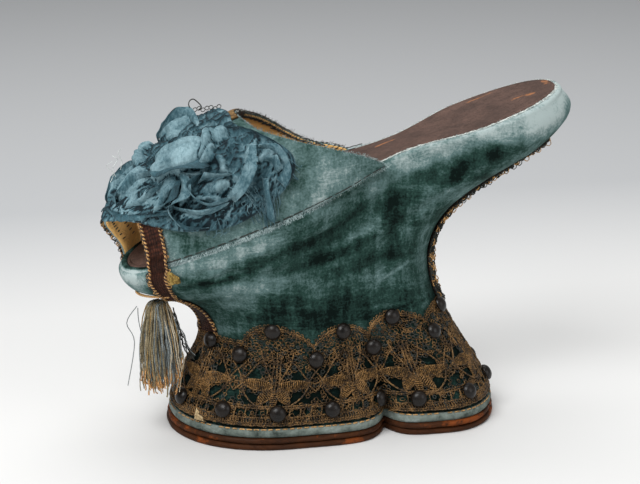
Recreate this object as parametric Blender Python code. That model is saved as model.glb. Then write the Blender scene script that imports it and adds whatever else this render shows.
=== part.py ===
"""A chopine: a tall platform shoe of carved wood covered in velvet.

Toe towards -X, heel towards +X, the near side towards -Y, floor at z = 0.
"""

import math
from collections import namedtuple

import bmesh
import bpy
from mathutils import Vector

MM = 0.001

# Driving sizes, in millimetres
GAP = 0.3
OUTSOLE_LAYER = 2.7
OUTSOLE_BULGE = 0.5
BAND_LOW = 6.0
BAND_HIGH = 10.2
BAND_BULGE = 0.8
BAND_REACH = 0.4
INSOLE_THICK = 1.8
INSOLE_INSET = 3.2
INSOLE_BEVEL = 0.6
VAMP_WALL = 1.8
TRIM_THICK = 1.1
LACE_THICK = 0.9
TAPE_WIDTH = 8.0
BRAID_WIDTH = 4.0
TRIM_SETBACK = 0.4
NAIL_RADIUS = 4.1
NAIL_HEIGHT = 2.7

# Where the ball, the cleft of the waist and the heel seat lie, as shares of the length
BALL_AT = 0.33
NOTCH_AT = 0.627
HEEL_AT = 0.81
FRONT_STEPS = 12
BACK_STEPS = 9

# The footbed is a ramp from toe to heel that bows up a little at the arch
RAMP_TOE = (-96.0, 81.0)
RAMP_HEEL = (118.0, 158.5)
RAMP_BOW = 2.5

# Carved platform, one row a level from the base up. front and back are the ends of the
# ring, ball, waist and heel its half widths, notch how far the cleft cuts in, prow and
# stern how blunt its ends are, and bow how much of the footbed's bow it takes.
Level = namedtuple(
    "Level",
    "front_x front_z back_x back_z ball waist heel notch prow stern bow",
)
OUTSOLE_LEVEL = Level(-75.5, 0.0, 85.5, 0.0, 46.0, 28.0, 42.0, 1.0, 2.1, 2.1, 0.0)
LEVELS = (
    Level(-73.5, 10.6, 84.0, 10.6, 44.5, 27.0, 40.5, 1.00, 2.1, 2.1, 0.0),
    Level(-70.0, 20.0, 79.0, 21.0, 42.5, 27.5, 37.5, 0.80, 1.9, 1.9, 0.0),
    Level(-64.5, 31.0, 72.0, 32.0, 40.0, 28.5, 33.5, 0.45, 1.7, 1.8, 0.0),
    Level(-59.5, 42.0, 64.5, 45.0, 37.5, 29.0, 29.5, 0.15, 1.5, 1.6, 0.0),
    Level(-58.5, 51.0, 57.5, 58.0, 36.0, 29.0, 26.0, 0.00, 1.5, 1.5, 0.0),
    Level(-62.5, 59.0, 54.0, 72.0, 35.5, 29.5, 24.0, 0.00, 1.5, 1.5, 0.0),
    Level(-70.0, 63.5, 54.5, 84.0, 35.0, 29.5, 23.0, 0.00, 1.5, 1.5, 0.2),
    Level(-79.0, 66.0, 59.5, 95.0, 35.3, 29.0, 22.0, 0.00, 1.6, 1.5, 0.4),
    Level(-87.0, 68.0, 69.0, 105.0, 36.0, 28.0, 21.0, 0.00, 1.7, 1.5, 0.6),
    Level(-92.0, 70.5, 88.0, 118.0, 37.0, 24.5, 20.5, 0.00, 1.9, 1.6, 0.8),
    Level(-95.5, 74.5, 110.0, 132.0, 38.0, 20.5, 24.5, 0.00, 2.1, 1.8, 0.9),
    Level(-96.8, 77.5, 120.0, 143.0, 38.6, 18.5, 28.3, 0.00, 2.2, 2.0, 1.0),
    Level(-97.0, 79.5, 123.0, 151.5, 38.8, 18.0, 29.5, 0.00, 2.2, 2.1, 1.0),
    Level(-96.0, 81.0, 118.0, 158.5, 38.2, 17.5, 28.8, 0.00, 2.2, 2.2, 1.0),
)
TOP = len(LEVELS) - 1
RINGS_A_LEVEL = 2
SHARE_NUDGE = 0.003
LEVEL_NUDGE = 0.1
ACROSS_NUDGE = 0.01

# Vamp sections square to the length.
# Columns: station x, half width at the sole, ridge height above the floor, fullness.
VAMP_SECTIONS = (
    (-108.0, 11.0, 99.0, 2.2),
    (-98.0, 13.0, 110.0, 2.3),
    (-93.0, 15.0, 116.0, 2.3),
    (-88.0, 20.3, 122.0, 2.4),
    (-78.0, 28.0, 132.5, 2.4),
    (-60.0, 34.3, 144.0, 2.4),
    (-40.0, 37.6, 151.5, 2.3),
    (-20.0, 37.8, 157.0, 2.2),
    (4.0, 33.0, 162.0, 2.1),
    (27.0, 22.5, 166.0, 2.0),
)

# The vamp's two open edges, from the near side over the ridge to the far side.
# Columns: across (-1 near sole, 0 ridge, 1 far sole), station x.
TOE_EDGE = (
    (-1.0, -85.0),
    (-0.75, -87.5),
    (-0.5, -89.5),
    (-0.25, -92.0),
    (0.0, -98.0),
    (0.25, -102.5),
    (0.5, -102.0),
    (0.75, -98.5),
    (1.0, -93.5),
)
THROAT_EDGE = (
    (-1.0, 27.0),
    (-0.85, 17.0),
    (-0.7, 2.0),
    (-0.5, -19.0),
    (-0.3, -34.0),
    (0.0, -40.0),
    (0.3, -34.0),
    (0.5, -23.0),
    (0.7, -11.0),
    (0.85, 1.0),
    (1.0, 20.0),
)
VAMP_ACROSS = 24
BINDING_COLUMNS = 2
VAMP_ALONG = 13

# Tapes on the front keel, from the vamp's feet down to the lace. Columns: level, then the
# near tape's inner and outer edge and the far tape's, as distances from the middle.
FRONT_TAPES = (
    (3.45, 0.6, 13.0, 0.6, 13.0),
    (4.0, 0.6, 12.5, 0.6, 12.5),
    (5.0, 0.6, 11.5, 0.6, 11.5),
    (6.0, 1.5, 12.5, 0.8, 12.0),
    (7.0, 8.5, 17.0, 5.0, 13.5),
    (8.0, 17.0, 21.5, 10.0, 17.5),
    (9.0, 20.5, 25.0, 12.5, 20.0),
    (10.0, 22.3, 27.0, 14.0, 21.5),
    (11.0, 23.3, 28.0, 14.8, 22.3),
    (12.0, 23.6, 28.5, 15.0, 22.5),
    (12.2, 23.7, 28.6, 15.0, 22.5),
)
BACK_BRAID_HALF = 4.5
BACK_BRAID_LEVELS = (3.6, 10.2)

# Lace on the flared base: motifs round one side, and the rows of one motif
LACE_MOTIFS = 5
LACE_CELLS = 8
LACE_ROWS = (0.0, 0.13, 0.28, 0.46, 0.62, 0.80, 1.0)
LACE_HOLES = ((1, 1), (3, 1), (4, 1), (6, 1), (0, 3), (7, 3), (2, 3), (5, 3), (2, 4), (5, 4))
LACE_UNDER = 0.5
LACE_RELIEF = 0.35
LACE_FOOT_Z = 12.0
LACE_LEVEL_TOP = 6.0
LIP_AT = 0.655
LIP_SPREAD = 0.05
LIP_CLEARANCE = 0.9

# The lace's scalloped top edge. Columns: motifs from the front keel, height.
LACE_TOP = (
    (0.0, 40.0),
    (0.5, 46.0),
    (1.0, 42.5),
    (1.5, 56.5),
    (2.0, 42.0),
    (2.5, 53.0),
    (3.0, 44.0),
    (3.5, 57.0),
    (4.0, 47.0),
    (4.5, 55.0),
    (5.0, 49.0),
)

# Rings of dome nails: height of each row, and how far the nails stand off the skin
NAIL_SEAT = 2.4
NAIL_LIP_SEAT = 1.3
LOW_NAIL_Z = 17.5
LOW_NAILS = 8
HIGH_NAILS_A_MOTIF = 2
HIGH_NAIL_DROP = 1.0
NAIL_SIDES = 8

# The rosette: a heap of gathered ribbon on the front of the vamp.
# Columns: turn round the heap in degrees (0 to the heel, 90 to the far side), reach.
ROSETTE_REACH = (
    (0.0, 19.0),
    (45.0, 22.0),
    (90.0, 28.0),
    (135.0, 32.0),
    (180.0, 40.5),
    (225.0, 43.0),
    (270.0, 51.0),
    (315.0, 60.0),
    (340.0, 42.0),
    (360.0, 19.0),
)
ROSETTE_AT = (-62.0, -0.06)
ROSETTE_SPOKES = 36
ROSETTE_RINGS = 6
ROSETTE_EDGE = 2.2
ROSETTE_HEAP = 5.0
ROSETTE_FOLD = 3.2
ROSETTE_FOLDS = 11
ROSETTE_SWIRL = 5.0
ROSETTE_PUFFS = 3
ROSETTE_PUFF = 1.2
ROSETTE_SCALLOP = 0.07
ROSETTE_UNDER = 2.2
VAMP_GIRTH = 62.0

# Ribbon loops that stand out of the heap.
# Columns: distance from the middle, turn in degrees, height, span, ribbon width.
ROSETTE_LOOPS = (
    (7.0, 60.0, 6.0, 15.0, 10.0),
    (21.0, 140.0, 6.5, 15.0, 9.0),
    (25.0, 195.0, 7.5, 16.0, 10.0),
    (26.0, 240.0, 9.0, 16.0, 10.0),
    (30.0, 285.0, 10.0, 16.0, 9.0),
    (33.0, 320.0, 9.0, 16.0, 10.0),
)
LOOP_THICK = 1.4
LOOP_SINK = 4.0
LOOP_BENDS = 8

# The tassel under the toe.
# Columns: turn in degrees, reach at the tips, tip height, thickness.
TASSEL_TOP = (-80.0, -7.5, 60.3)
TASSEL_HEAD_RADIUS = 5.4
TASSEL_HEAD_HEIGHT = 3.4
TASSEL_SPREAD = 3.0
LOCK_SIDES = 5
HEAD_SIDES = 12
TASSEL_FOOT = (-79.5, -13.5)
TASSEL_LOCKS = (
    (0.0, 9.0, 25.0, 3.4),
    (36.0, 7.0, 22.0, 3.2),
    (72.0, 8.0, 26.0, 3.4),
    (108.0, 9.0, 22.0, 3.2),
    (144.0, 10.0, 24.0, 3.4),
    (180.0, 10.0, 29.0, 3.4),
    (216.0, 10.0, 26.0, 3.2),
    (252.0, 9.0, 23.0, 3.4),
    (288.0, 11.0, 22.0, 3.4),
    (324.0, 15.0, 25.0, 3.4),
    (0.0, 0.0, 22.0, 6.0),
)


def blend(a, b, share):
    return a + (b - a) * share


def curve_through(before, a, b, after, share):
    """A smooth run from a to b that also heeds the values on either side."""
    slope_a = (b - before) / 2
    slope_b = (after - a) / 2
    s2 = share * share
    s3 = s2 * share
    return (
        (2 * s3 - 3 * s2 + 1) * a
        + (s3 - 2 * s2 + share) * slope_a
        + (3 * s2 - 2 * s3) * b
        + (s3 - s2) * slope_b
    )


def eased_row(level):
    """The table's row at any place between its levels, eased from row to row."""
    first = min(max(int(math.floor(level)), 0), TOP - 1)
    share = level - first
    rows = [LEVELS[min(max(first + k, 0), TOP)] for k in (-1, 0, 1, 2)]
    return Level(*(curve_through(*values, share) for values in zip(*rows)))


def level_at(level):
    """The platform's row at any level, on the flats between its built rings."""
    first = min(int(level * RINGS_A_LEVEL), TOP * RINGS_A_LEVEL - 1)
    share = level * RINGS_A_LEVEL - first
    low = eased_row(first / RINGS_A_LEVEL)
    high = eased_row((first + 1) / RINGS_A_LEVEL)
    return Level(*(blend(a, b, share) for a, b in zip(low, high)))


def value_at(table, key, column=1):
    """A table's column at any value of its first column, eased between rows."""
    last = len(table) - 1
    first = 0
    while first < last - 1 and table[first + 1][0] < key:
        first += 1
    share = (key - table[first][0]) / (table[first + 1][0] - table[first][0])
    if share < 0 or share > 1:
        return blend(table[first][column], table[first + 1][column], share)
    rows = [table[min(max(first + k, 0), last)][column] for k in (-1, 0, 1, 2)]
    return curve_through(*rows, share)


def ramp_z(x):
    """Height of the footbed's straight ramp at station x."""
    share = (x - RAMP_TOE[0]) / (RAMP_HEEL[0] - RAMP_TOE[0])
    return blend(RAMP_TOE[1], RAMP_HEEL[1], share)


def bow_z(x):
    """How far the footbed bows up above its ramp at station x."""
    share = (x - RAMP_TOE[0]) / (RAMP_HEEL[0] - RAMP_TOE[0])
    return RAMP_BOW * math.sin(math.pi * min(max(share, 0.0), 1.0)) ** 2


def footbed_z(x):
    return ramp_z(x) + bow_z(x)


def half_width(row, share):
    """Half the platform's width at a share of its length from toe to heel."""
    if share <= BALL_AT:
        reach = (BALL_AT - share) / BALL_AT
        return row.ball * max(1 - reach**row.prow, 0.0) ** (1 / row.prow)
    if share >= HEEL_AT:
        reach = (share - HEEL_AT) / (1 - HEEL_AT)
        return row.heel * max(1 - reach**row.stern, 0.0) ** (1 / row.stern)
    if share < NOTCH_AT:
        wide, reach, lobe = row.ball, (share - BALL_AT) / (NOTCH_AT - BALL_AT), 6
    else:
        wide, reach, lobe = row.heel, (HEEL_AT - share) / (HEEL_AT - NOTCH_AT), 5
    soft = row.waist + (wide - row.waist) * 0.5 * (1 + math.cos(math.pi * reach))
    cleft = wide * math.sqrt(1 - (1 - (row.waist / wide) ** 2) * reach**lobe)
    return blend(soft, cleft, row.notch)


def platform_point(row, share, side):
    """A point on the platform's skin: row of the table, share of length, side -1 or 1."""
    x = blend(row.front_x, row.back_x, share)
    z = blend(row.front_z, row.back_z, share) + row.bow * bow_z(x)
    return Vector((x, side * half_width(row, share), z))


def stations():
    """Shares of the length, closer together at the toe, at the cleft and at the heel."""
    front = [
        NOTCH_AT * (1 - math.cos(math.pi * k / FRONT_STEPS)) / 2
        for k in range(FRONT_STEPS)
    ]
    back = [
        NOTCH_AT + (1 - NOTCH_AT) * (1 - math.cos(math.pi * k / BACK_STEPS)) / 2
        for k in range(BACK_STEPS + 1)
    ]
    return front + back


def outline(row):
    """One closed ring: the near side from toe to heel, then the far side back."""
    shares = stations()
    near = [platform_point(row, share, -1) for share in shares]
    far = [platform_point(row, share, 1) for share in reversed(shares[1:-1])]
    return near + far


def grown(row, by):
    """The same row with its outline pushed out all round."""
    return row._replace(
        front_x=row.front_x - by,
        back_x=row.back_x + by,
        ball=row.ball + by,
        waist=row.waist + by,
        heel=row.heel + by,
    )


def at_height(row, z):
    """A row laid flat at height z."""
    return row._replace(front_z=z, back_z=z)


def material(name, colour, roughness, metallic=0.0):
    made = bpy.data.materials.new(name)
    made.use_nodes = True
    made.diffuse_color = (*colour, 1.0)
    shader = made.node_tree.nodes["Principled BSDF"]
    shader.inputs["Base Color"].default_value = (*colour, 1.0)
    shader.inputs["Roughness"].default_value = roughness
    shader.inputs["Metallic"].default_value = metallic
    return made


def add_object(name, bm, finish, sharp=40.0):
    """Turns a bmesh in millimetres into a named object in metres, shaded smooth."""
    bmesh.ops.scale(bm, vec=(MM, MM, MM), verts=bm.verts)
    bmesh.ops.recalc_face_normals(bm, faces=bm.faces)
    if bm.calc_volume(signed=True) < 0:
        bmesh.ops.reverse_faces(bm, faces=bm.faces)
    mesh = bpy.data.meshes.new(name)
    bm.to_mesh(mesh)
    bm.free()
    mesh.shade_smooth()
    mesh.set_sharp_from_angle(angle=math.radians(sharp))
    mesh.materials.append(finish)
    made = bpy.data.objects.new(name, mesh)
    bpy.context.scene.collection.objects.link(made)
    return made


def cap_across(bm, ring):
    """Closes a ring of the platform with faces from its near side to its far side."""
    half = len(ring) // 2
    for k in range(half):
        near = ring[k], ring[k + 1]
        far = ring[-k - 1], ring[-k] if k else ring[0]
        corners = [near[0], near[1], far[0], far[1]]
        kept = [c for n, c in enumerate(corners) if c not in corners[:n]]
        bm.faces.new(kept)


def lofted(name, rings, finish, sharp=40.0):
    """A solid through closed rings of equal count, capped across at both ends."""
    bm = bmesh.new()
    place = bm.verts.layers.int.new("place")
    ring = [bm.verts.new(point) for point in rings[0]]
    for k, vert in enumerate(ring):
        vert[place] = k
    edges = [bm.edges.new((ring[k - 1], ring[k])) for k in range(len(ring))]
    loops = [ring]
    for points in rings[1:]:
        made = bmesh.ops.extrude_edge_only(bm, edges=edges)["geom"]
        ring = sorted(
            (g for g in made if isinstance(g, bmesh.types.BMVert)),
            key=lambda vert: vert[place],
        )
        for vert, point in zip(ring, points):
            vert.co = point
        new = set(ring)
        edges = [
            g for g in made
            if isinstance(g, bmesh.types.BMEdge) and new.issuperset(g.verts)
        ]
        loops.append(ring)
    cap_across(bm, loops[0])
    cap_across(bm, loops[-1])
    return add_object(name, bm, finish, sharp)


def patch(name, place, along, across, finish, left_out=(), closed=False):
    """A sheet with thickness: place(u, v, over) gives a point, over 0 beneath and 1 on top.

    along and across are lists of u and v, left_out holds the (column, row) cells cut out,
    and a closed sheet joins its last column to its first.
    """
    bm = bmesh.new()
    u_key = bm.verts.layers.float.new("u")
    v_key = bm.verts.layers.float.new("v")
    grid = []
    for v in across:
        line = []
        for u in along:
            vert = bm.verts.new(place(u, v, 0))
            vert[u_key] = u
            vert[v_key] = v
            line.append(vert)
        grid.append(line)
    columns = len(along) if closed else len(along) - 1
    for row in range(len(across) - 1):
        for column in range(columns):
            if (column, row) in left_out:
                continue
            after = (column + 1) % len(along)
            bm.faces.new((
                grid[row][column], grid[row][after],
                grid[row + 1][after], grid[row + 1][column],
            ))
    made = bmesh.ops.extrude_face_region(bm, geom=bm.faces[:], use_keep_orig=True)["geom"]
    for vert in (g for g in made if isinstance(g, bmesh.types.BMVert)):
        vert.co = place(vert[u_key], vert[v_key], 1)
    return add_object(name, bm, finish)


def steps(low, high, count):
    return [blend(low, high, k / count) for k in range(count + 1)]


def share_at(row, y, heel_end=False):
    """The share of the length where the outline is y from the middle, near one end."""
    if heel_end:
        reach = (1 - (abs(y) / row.heel) ** row.stern) ** (1 / row.stern)
        return HEEL_AT + (1 - HEEL_AT) * reach
    reach = (1 - (abs(y) / row.ball) ** row.prow) ** (1 / row.prow)
    return BALL_AT * (1 - reach)


def round_point(row, share, side):
    """A point of the outline, where a share past either end is on the other side."""
    if share < 0.0:
        return platform_point(row, -share, -side)
    if share > 1.0:
        return platform_point(row, 2.0 - share, -side)
    return platform_point(row, share, side)


def skin_normal(level, share, side):
    """The direction square to the platform's skin, pointing out of it."""
    row = level_at(level)
    along = round_point(row, share + SHARE_NUDGE, side)
    along -= round_point(row, share - SHARE_NUDGE, side)
    up = platform_point(level_at(min(level + LEVEL_NUDGE, TOP)), share, side)
    up -= platform_point(level_at(max(level - LEVEL_NUDGE, 0.0)), share, side)
    return (along.cross(up) * -side).normalized()


def skin_point(level, share, side, lift):
    """A point lifted off the platform's skin, square to it."""
    here = platform_point(level_at(level), share, side)
    return here + skin_normal(level, share, side) * lift


def vamp_section(x, across):
    """A point on the vamp's outer skin: station x, across from -1 near to 1 far."""
    half = value_at(VAMP_SECTIONS, x, 1)
    ridge = value_at(VAMP_SECTIONS, x, 2)
    full = value_at(VAMP_SECTIONS, x, 3)
    base = footbed_z(x) + GAP
    turn = across * math.pi / 2
    y = half * math.copysign(abs(math.sin(turn)) ** (2 / full), across)
    z = base + (ridge - base) * max(math.cos(turn), 0.0) ** (2 / full)
    return Vector((x, y, z))


def vamp_point(x, across, lift):
    """A point lifted off the vamp's outer skin, square to it; below it when negative."""
    low = max(across - ACROSS_NUDGE, -1.0)
    high = min(across + ACROSS_NUDGE, 1.0)
    over = vamp_section(x, high) - vamp_section(x, low)
    along = vamp_section(x + 0.5, across) - vamp_section(x - 0.5, across)
    out = along.cross(over)
    at_foot = abs(across) > 1 - ACROSS_NUDGE
    if at_foot:
        out.z = 0.0
    point = vamp_section(x, across) + out.normalized() * lift
    if at_foot:
        point.z = footbed_z(point.x) + GAP
    return point


def vamp_station(column, across):
    """Station of a column of the vamp: under the binding, evenly on, and the braid's."""
    toe = value_at(TOE_EDGE, across)
    throat = value_at(THROAT_EDGE, across)
    if column <= BINDING_COLUMNS:
        return toe + TAPE_WIDTH * column / BINDING_COLUMNS
    if column == VAMP_ALONG:
        return throat
    share = (column - BINDING_COLUMNS) / (VAMP_ALONG - BINDING_COLUMNS - 1)
    return blend(toe + TAPE_WIDTH, throat - BRAID_WIDTH, share)


def build_outsole(leather):
    """Two leather lifts under the platform, with a groove between them."""
    low = 0.0
    for name in ("outsole_lower", "outsole_upper"):
        high = low + OUTSOLE_LAYER
        rings = [
            outline(at_height(OUTSOLE_LEVEL, low)),
            outline(at_height(grown(OUTSOLE_LEVEL, OUTSOLE_BULGE), blend(low, high, 0.5))),
            outline(at_height(OUTSOLE_LEVEL, high)),
        ]
        lofted(name, rings, leather)
        low = high + GAP


def build_band(velvet):
    """The pale velvet rand that lies between the outsole and the platform."""
    row = grown(LEVELS[0], BAND_REACH)
    rings = [
        outline(at_height(grown(row, bulge), blend(BAND_LOW, BAND_HIGH, share)))
        for share, bulge in ((0.0, 0.2), (0.3, BAND_BULGE), (0.7, 0.8 * BAND_BULGE), (1.0, 0.0))
    ]
    lofted("base_band", rings, velvet)


def build_platform(velvet):
    rings = [outline(level_at(k / RINGS_A_LEVEL)) for k in range(TOP * RINGS_A_LEVEL + 1)]
    lofted("platform", rings, velvet)


def build_insole(leather):
    """The footbed leather, set in from the velvet rim."""
    rings = []
    for inset, rise in (
        (INSOLE_INSET, GAP),
        (INSOLE_INSET, GAP + INSOLE_THICK - INSOLE_BEVEL),
        (INSOLE_INSET + INSOLE_BEVEL, GAP + INSOLE_THICK),
    ):
        row = grown(LEVELS[TOP], -inset)
        front_z = ramp_z(row.front_x) + rise
        back_z = ramp_z(row.back_x) + rise
        rings.append(outline(row._replace(front_z=front_z, back_z=back_z)))
    lofted("insole", rings, leather)


def build_vamp(velvet):
    """The upper: one hollow wall, open at toe, throat and sole."""
    def place(u, v, side):
        return vamp_point(vamp_station(u, v), v, 0.0 if side else -VAMP_WALL)

    patch("upper", place, range(VAMP_ALONG + 1), steps(-1.0, 1.0, VAMP_ACROSS), velvet)


def build_toe_binding(tape):
    """The tape that edges the toe opening, over the ridge from foot to foot."""
    def place(u, v, side):
        return vamp_point(value_at(TOE_EDGE, v) + u, v, GAP + TRIM_THICK * side)

    columns = (TRIM_SETBACK, TAPE_WIDTH / 2, TAPE_WIDTH)
    patch("toe_binding", place, columns, steps(-1.0, 1.0, VAMP_ACROSS), tape)


def build_throat_braid(braid):
    """The narrow metal braid along the far side of the throat."""
    def place(u, v, side):
        return vamp_point(value_at(THROAT_EDGE, v) - u, v, GAP + TRIM_THICK * side)

    half = VAMP_ACROSS // 2
    across = [k / half for k in range(-1, half)]
    patch("throat_braid", place, (TRIM_SETBACK, BRAID_WIDTH), across, braid)


def ring_levels(low, high):
    """Levels from low to high that fall on the platform's built rings in between."""
    first = math.floor(low * RINGS_A_LEVEL) + 1
    last = math.ceil(high * RINGS_A_LEVEL)
    return [low] + [k / RINGS_A_LEVEL for k in range(first, last)] + [high]


def build_front_tapes(tape):
    """Two tapes side by side down the front keel, one a side."""
    levels = ring_levels(FRONT_TAPES[0][0], FRONT_TAPES[-1][0])
    for name, side, inner in (("front_tape_near", -1, 1), ("front_tape_far", 1, 3)):
        def place(u, v, over):
            y = blend(value_at(FRONT_TAPES, v, inner), value_at(FRONT_TAPES, v, inner + 1), u)
            return skin_point(v, share_at(level_at(v), y), side, GAP + TRIM_THICK * over)

        patch(name, place, (0.0, 0.5, 1.0), levels, tape)


def build_back_braid(braid):
    """The braid that covers the keel under the heel."""
    def place(u, v, over):
        side = -1 if u < 0 else 1
        share = share_at(level_at(v), u, heel_end=True)
        return skin_point(v, share, side, GAP + TRIM_THICK * over)

    half = BACK_BRAID_HALF
    patch("back_braid", place, (-half, -half / 2, 0.0, half / 2, half),
          ring_levels(*BACK_BRAID_LEVELS), braid)


def arc_shares(row, count):
    """Shares of the length that cut one side of a ring into equal runs."""
    fine = steps(0.0, 1.0, 400)
    points = [platform_point(row, share, -1) for share in fine]
    run = [0.0]
    for a, b in zip(points, points[1:]):
        run.append(run[-1] + (b - a).length)
    table = list(zip(run, fine))
    found = []
    first = 0
    for k in range(count + 1):
        target = run[-1] * k / count
        while first < len(table) - 2 and table[first + 1][0] < target:
            first += 1
        (low, a), (high, b) = table[first], table[first + 1]
        found.append(blend(a, b, min((target - low) / (high - low), 1.0)))
    return found


def level_at_z(share, z):
    """The level whose ring passes height z at a share of the length."""
    low = 0.0
    high = LACE_LEVEL_TOP
    for _ in range(30):
        middle = (low + high) / 2
        if platform_point(level_at(middle), share, -1).z < z:
            low = middle
        else:
            high = middle
    return (low + high) / 2


def near_lip(share):
    """1 at the sharp lip behind the cleft, falling to 0 away from it."""
    return math.exp(-(((share - LIP_AT) / LIP_SPREAD) ** 2))


def build_lace(lace):
    """One pierced wall of metal lace round the whole base, its top edge in scallops."""
    cells = LACE_MOTIFS * LACE_CELLS
    shares = arc_shares(LEVELS[1], cells)
    around = 2 * cells

    def place(u, v, over):
        turn = int(round(u)) % around
        side = -1 if turn <= cells else 1
        step = turn if turn <= cells else around - turn
        share = shares[step]
        z = blend(LACE_FOOT_Z, value_at(LACE_TOP, step / LACE_CELLS), v)
        raised = LACE_RELIEF * math.sin(math.pi * step / LACE_CELLS) ** 2
        under = LACE_UNDER + LIP_CLEARANCE * near_lip(share)
        row = grown(level_at(level_at_z(share, z)), under + (LACE_THICK + raised) * over)
        return platform_point(row, share, side)

    holes = {
        (motif * LACE_CELLS + column, row)
        for motif in range(2 * LACE_MOTIFS)
        for column, row in LACE_HOLES
    }
    patch("base_lace", place, range(around), LACE_ROWS, lace, holes, closed=True)


def build_nails(brass):
    """Dome nails round the base: a row along the foot, a row along the scallops."""
    profile = [
        (NAIL_RADIUS * math.cos(turn), NAIL_HEIGHT * math.sin(turn))
        for turn in steps(0.0, math.pi / 2, 2)
    ]
    spots = []
    low_shares = arc_shares(LEVELS[1], 2 * LOW_NAILS)
    spots += [("low", low_shares[2 * k + 1], LOW_NAIL_Z) for k in range(LOW_NAILS)]
    high_count = LACE_MOTIFS * HIGH_NAILS_A_MOTIF
    high_shares = arc_shares(LEVELS[1], high_count)
    for k in range(1, high_count):
        top = value_at(LACE_TOP, k / HIGH_NAILS_A_MOTIF)
        spots.append(("high", high_shares[k], top - HIGH_NAIL_DROP))
    for side_name, side in (("near", -1), ("far", 1)):
        for number, (row_name, share, z) in enumerate(spots):
            level = level_at_z(share, z)
            seat = skin_point(level, share, side, NAIL_SEAT + NAIL_LIP_SEAT * near_lip(share))
            out = skin_normal(level, share, side)
            bm = bmesh.new()
            verts = [bm.verts.new((r, 0.0, h)) for r, h in profile]
            edges = [bm.edges.new(pair) for pair in zip(verts, verts[1:])]
            bmesh.ops.spin(
                bm, geom=verts + edges, cent=(0, 0, 0), axis=(0, 0, 1),
                angle=2 * math.pi, steps=NAIL_SIDES, use_merge=True,
            )
            bmesh.ops.remove_doubles(bm, verts=bm.verts, dist=0.01)
            bmesh.ops.holes_fill(bm, edges=bm.edges)
            turn = out.to_track_quat("Z", "Y").to_matrix()
            bmesh.ops.rotate(bm, cent=(0, 0, 0), matrix=turn, verts=bm.verts)
            bmesh.ops.translate(bm, vec=seat, verts=bm.verts)
            add_object(f"nail_{row_name}_{side_name}_{number:02d}", bm, brass)


def rosette_point(reach, turn, lift):
    """A point over the vamp, reach and turn counted from the rosette's middle."""
    x = ROSETTE_AT[0] + reach * math.cos(turn)
    across = ROSETTE_AT[1] + reach * math.sin(turn) / VAMP_GIRTH
    return vamp_point(x, min(max(across, -0.98), 0.98), lift)


def rosette_lift(ring_share, turn):
    """Height of the heap: gathered folds that swirl round the middle."""
    swirl = math.sin(ROSETTE_FOLDS * turn + ROSETTE_SWIRL * ring_share)
    puff = math.sin(ROSETTE_PUFFS * turn - 7.0 * ring_share)
    heap = ROSETTE_HEAP * math.sin(math.pi * min(ring_share * 0.8 + 0.25, 1.0))
    fold = ROSETTE_FOLD * (0.5 + 0.5 * swirl) * (0.45 + 0.55 * ring_share)
    heap *= 1 - ring_share**4
    return ROSETTE_EDGE + heap + fold + ROSETTE_PUFF * puff * ring_share


def rosette_ring(bm, ring_share, over):
    """One ring of the heap, on its top or on its underside."""
    ring = []
    for spoke in range(ROSETTE_SPOKES):
        turn = 2 * math.pi * spoke / ROSETTE_SPOKES
        scallop = 1 + ROSETTE_SCALLOP * ring_share * math.sin(ROSETTE_FOLDS * turn)
        reach = value_at(ROSETTE_REACH, math.degrees(turn)) * ring_share * scallop
        lift = rosette_lift(ring_share, turn) if over else ROSETTE_UNDER
        ring.append(bm.verts.new(rosette_point(reach, turn, lift)))
    return ring


def build_rosette(silk):
    """A heap of gathered silk with loops of ribbon standing out of it."""
    bm = bmesh.new()
    edges = []
    for over, middle_lift in ((False, ROSETTE_UNDER), (True, ROSETTE_EDGE + ROSETTE_HEAP)):
        middle = bm.verts.new(rosette_point(0.0, 0.0, middle_lift))
        rings = [
            rosette_ring(bm, k / ROSETTE_RINGS, over)
            for k in range(1, ROSETTE_RINGS + 1)
        ]
        for a, b in zip(rings[0], rings[0][1:] + rings[0][:1]):
            bm.faces.new((middle, a, b))
        for inner, outer in zip(rings, rings[1:]):
            bridge(bm, inner, outer)
        edges.append(rings[-1])
    bridge(bm, *edges)
    rosette = add_object("silk_rosette", bm, silk)
    for number, loop in enumerate(ROSETTE_LOOPS):
        fuse(rosette, ribbon_loop(f"ribbon_loop_{number}", silk, *loop), "MANIFOLD")


def ribbon_loop(name, silk, reach, turn_degrees, height, span, width):
    """An arch of ribbon whose two feet sink into the heap."""
    turn = math.radians(turn_degrees)
    foot = rosette_point(reach, turn, LOOP_SINK)
    up = (rosette_point(reach, turn, LOOP_SINK + 1.0) - foot).normalized()
    out = (rosette_point(reach + 1.0, turn, LOOP_SINK) - foot).normalized()
    wide = up.cross(out).normalized()
    rings = []
    for arch in steps(0.0, math.pi, LOOP_BENDS):
        middle = foot - out * math.cos(arch) * span / 2 + up * math.sin(arch) * height
        normal = (up * math.sin(arch) * span / 2 - out * math.cos(arch) * height).normalized()
        rings.append([
            middle + wide * w * width / 2 + normal * t * LOOP_THICK / 2
            for w, t in ((-1, -1), (1, -1), (1, 1), (-1, 1))
        ])
    return tube(name, rings, silk)


def fuse(body, piece, solver="EXACT"):
    """Joins a piece to a body for good, and hides the piece that was joined."""
    joined = body.modifiers.new(piece.name, "BOOLEAN")
    joined.operation = "UNION"
    joined.solver = solver
    joined.object = piece
    piece.hide_render = True
    piece.display_type = "WIRE"


def bridge(bm, ring, after):
    """Joins two closed rings of vertices with a band of faces."""
    for k in range(len(ring)):
        bm.faces.new((ring[k - 1], ring[k], after[k], after[k - 1]))


def tube(name, rings, finish):
    """A closed solid through rings of equal count, each end one flat face."""
    bm = bmesh.new()
    loops = [[bm.verts.new(point) for point in points] for points in rings]
    for a, b in zip(loops, loops[1:]):
        bridge(bm, a, b)
    bm.faces.new(loops[0])
    bm.faces.new(loops[-1])
    return add_object(name, bm, finish)


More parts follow.
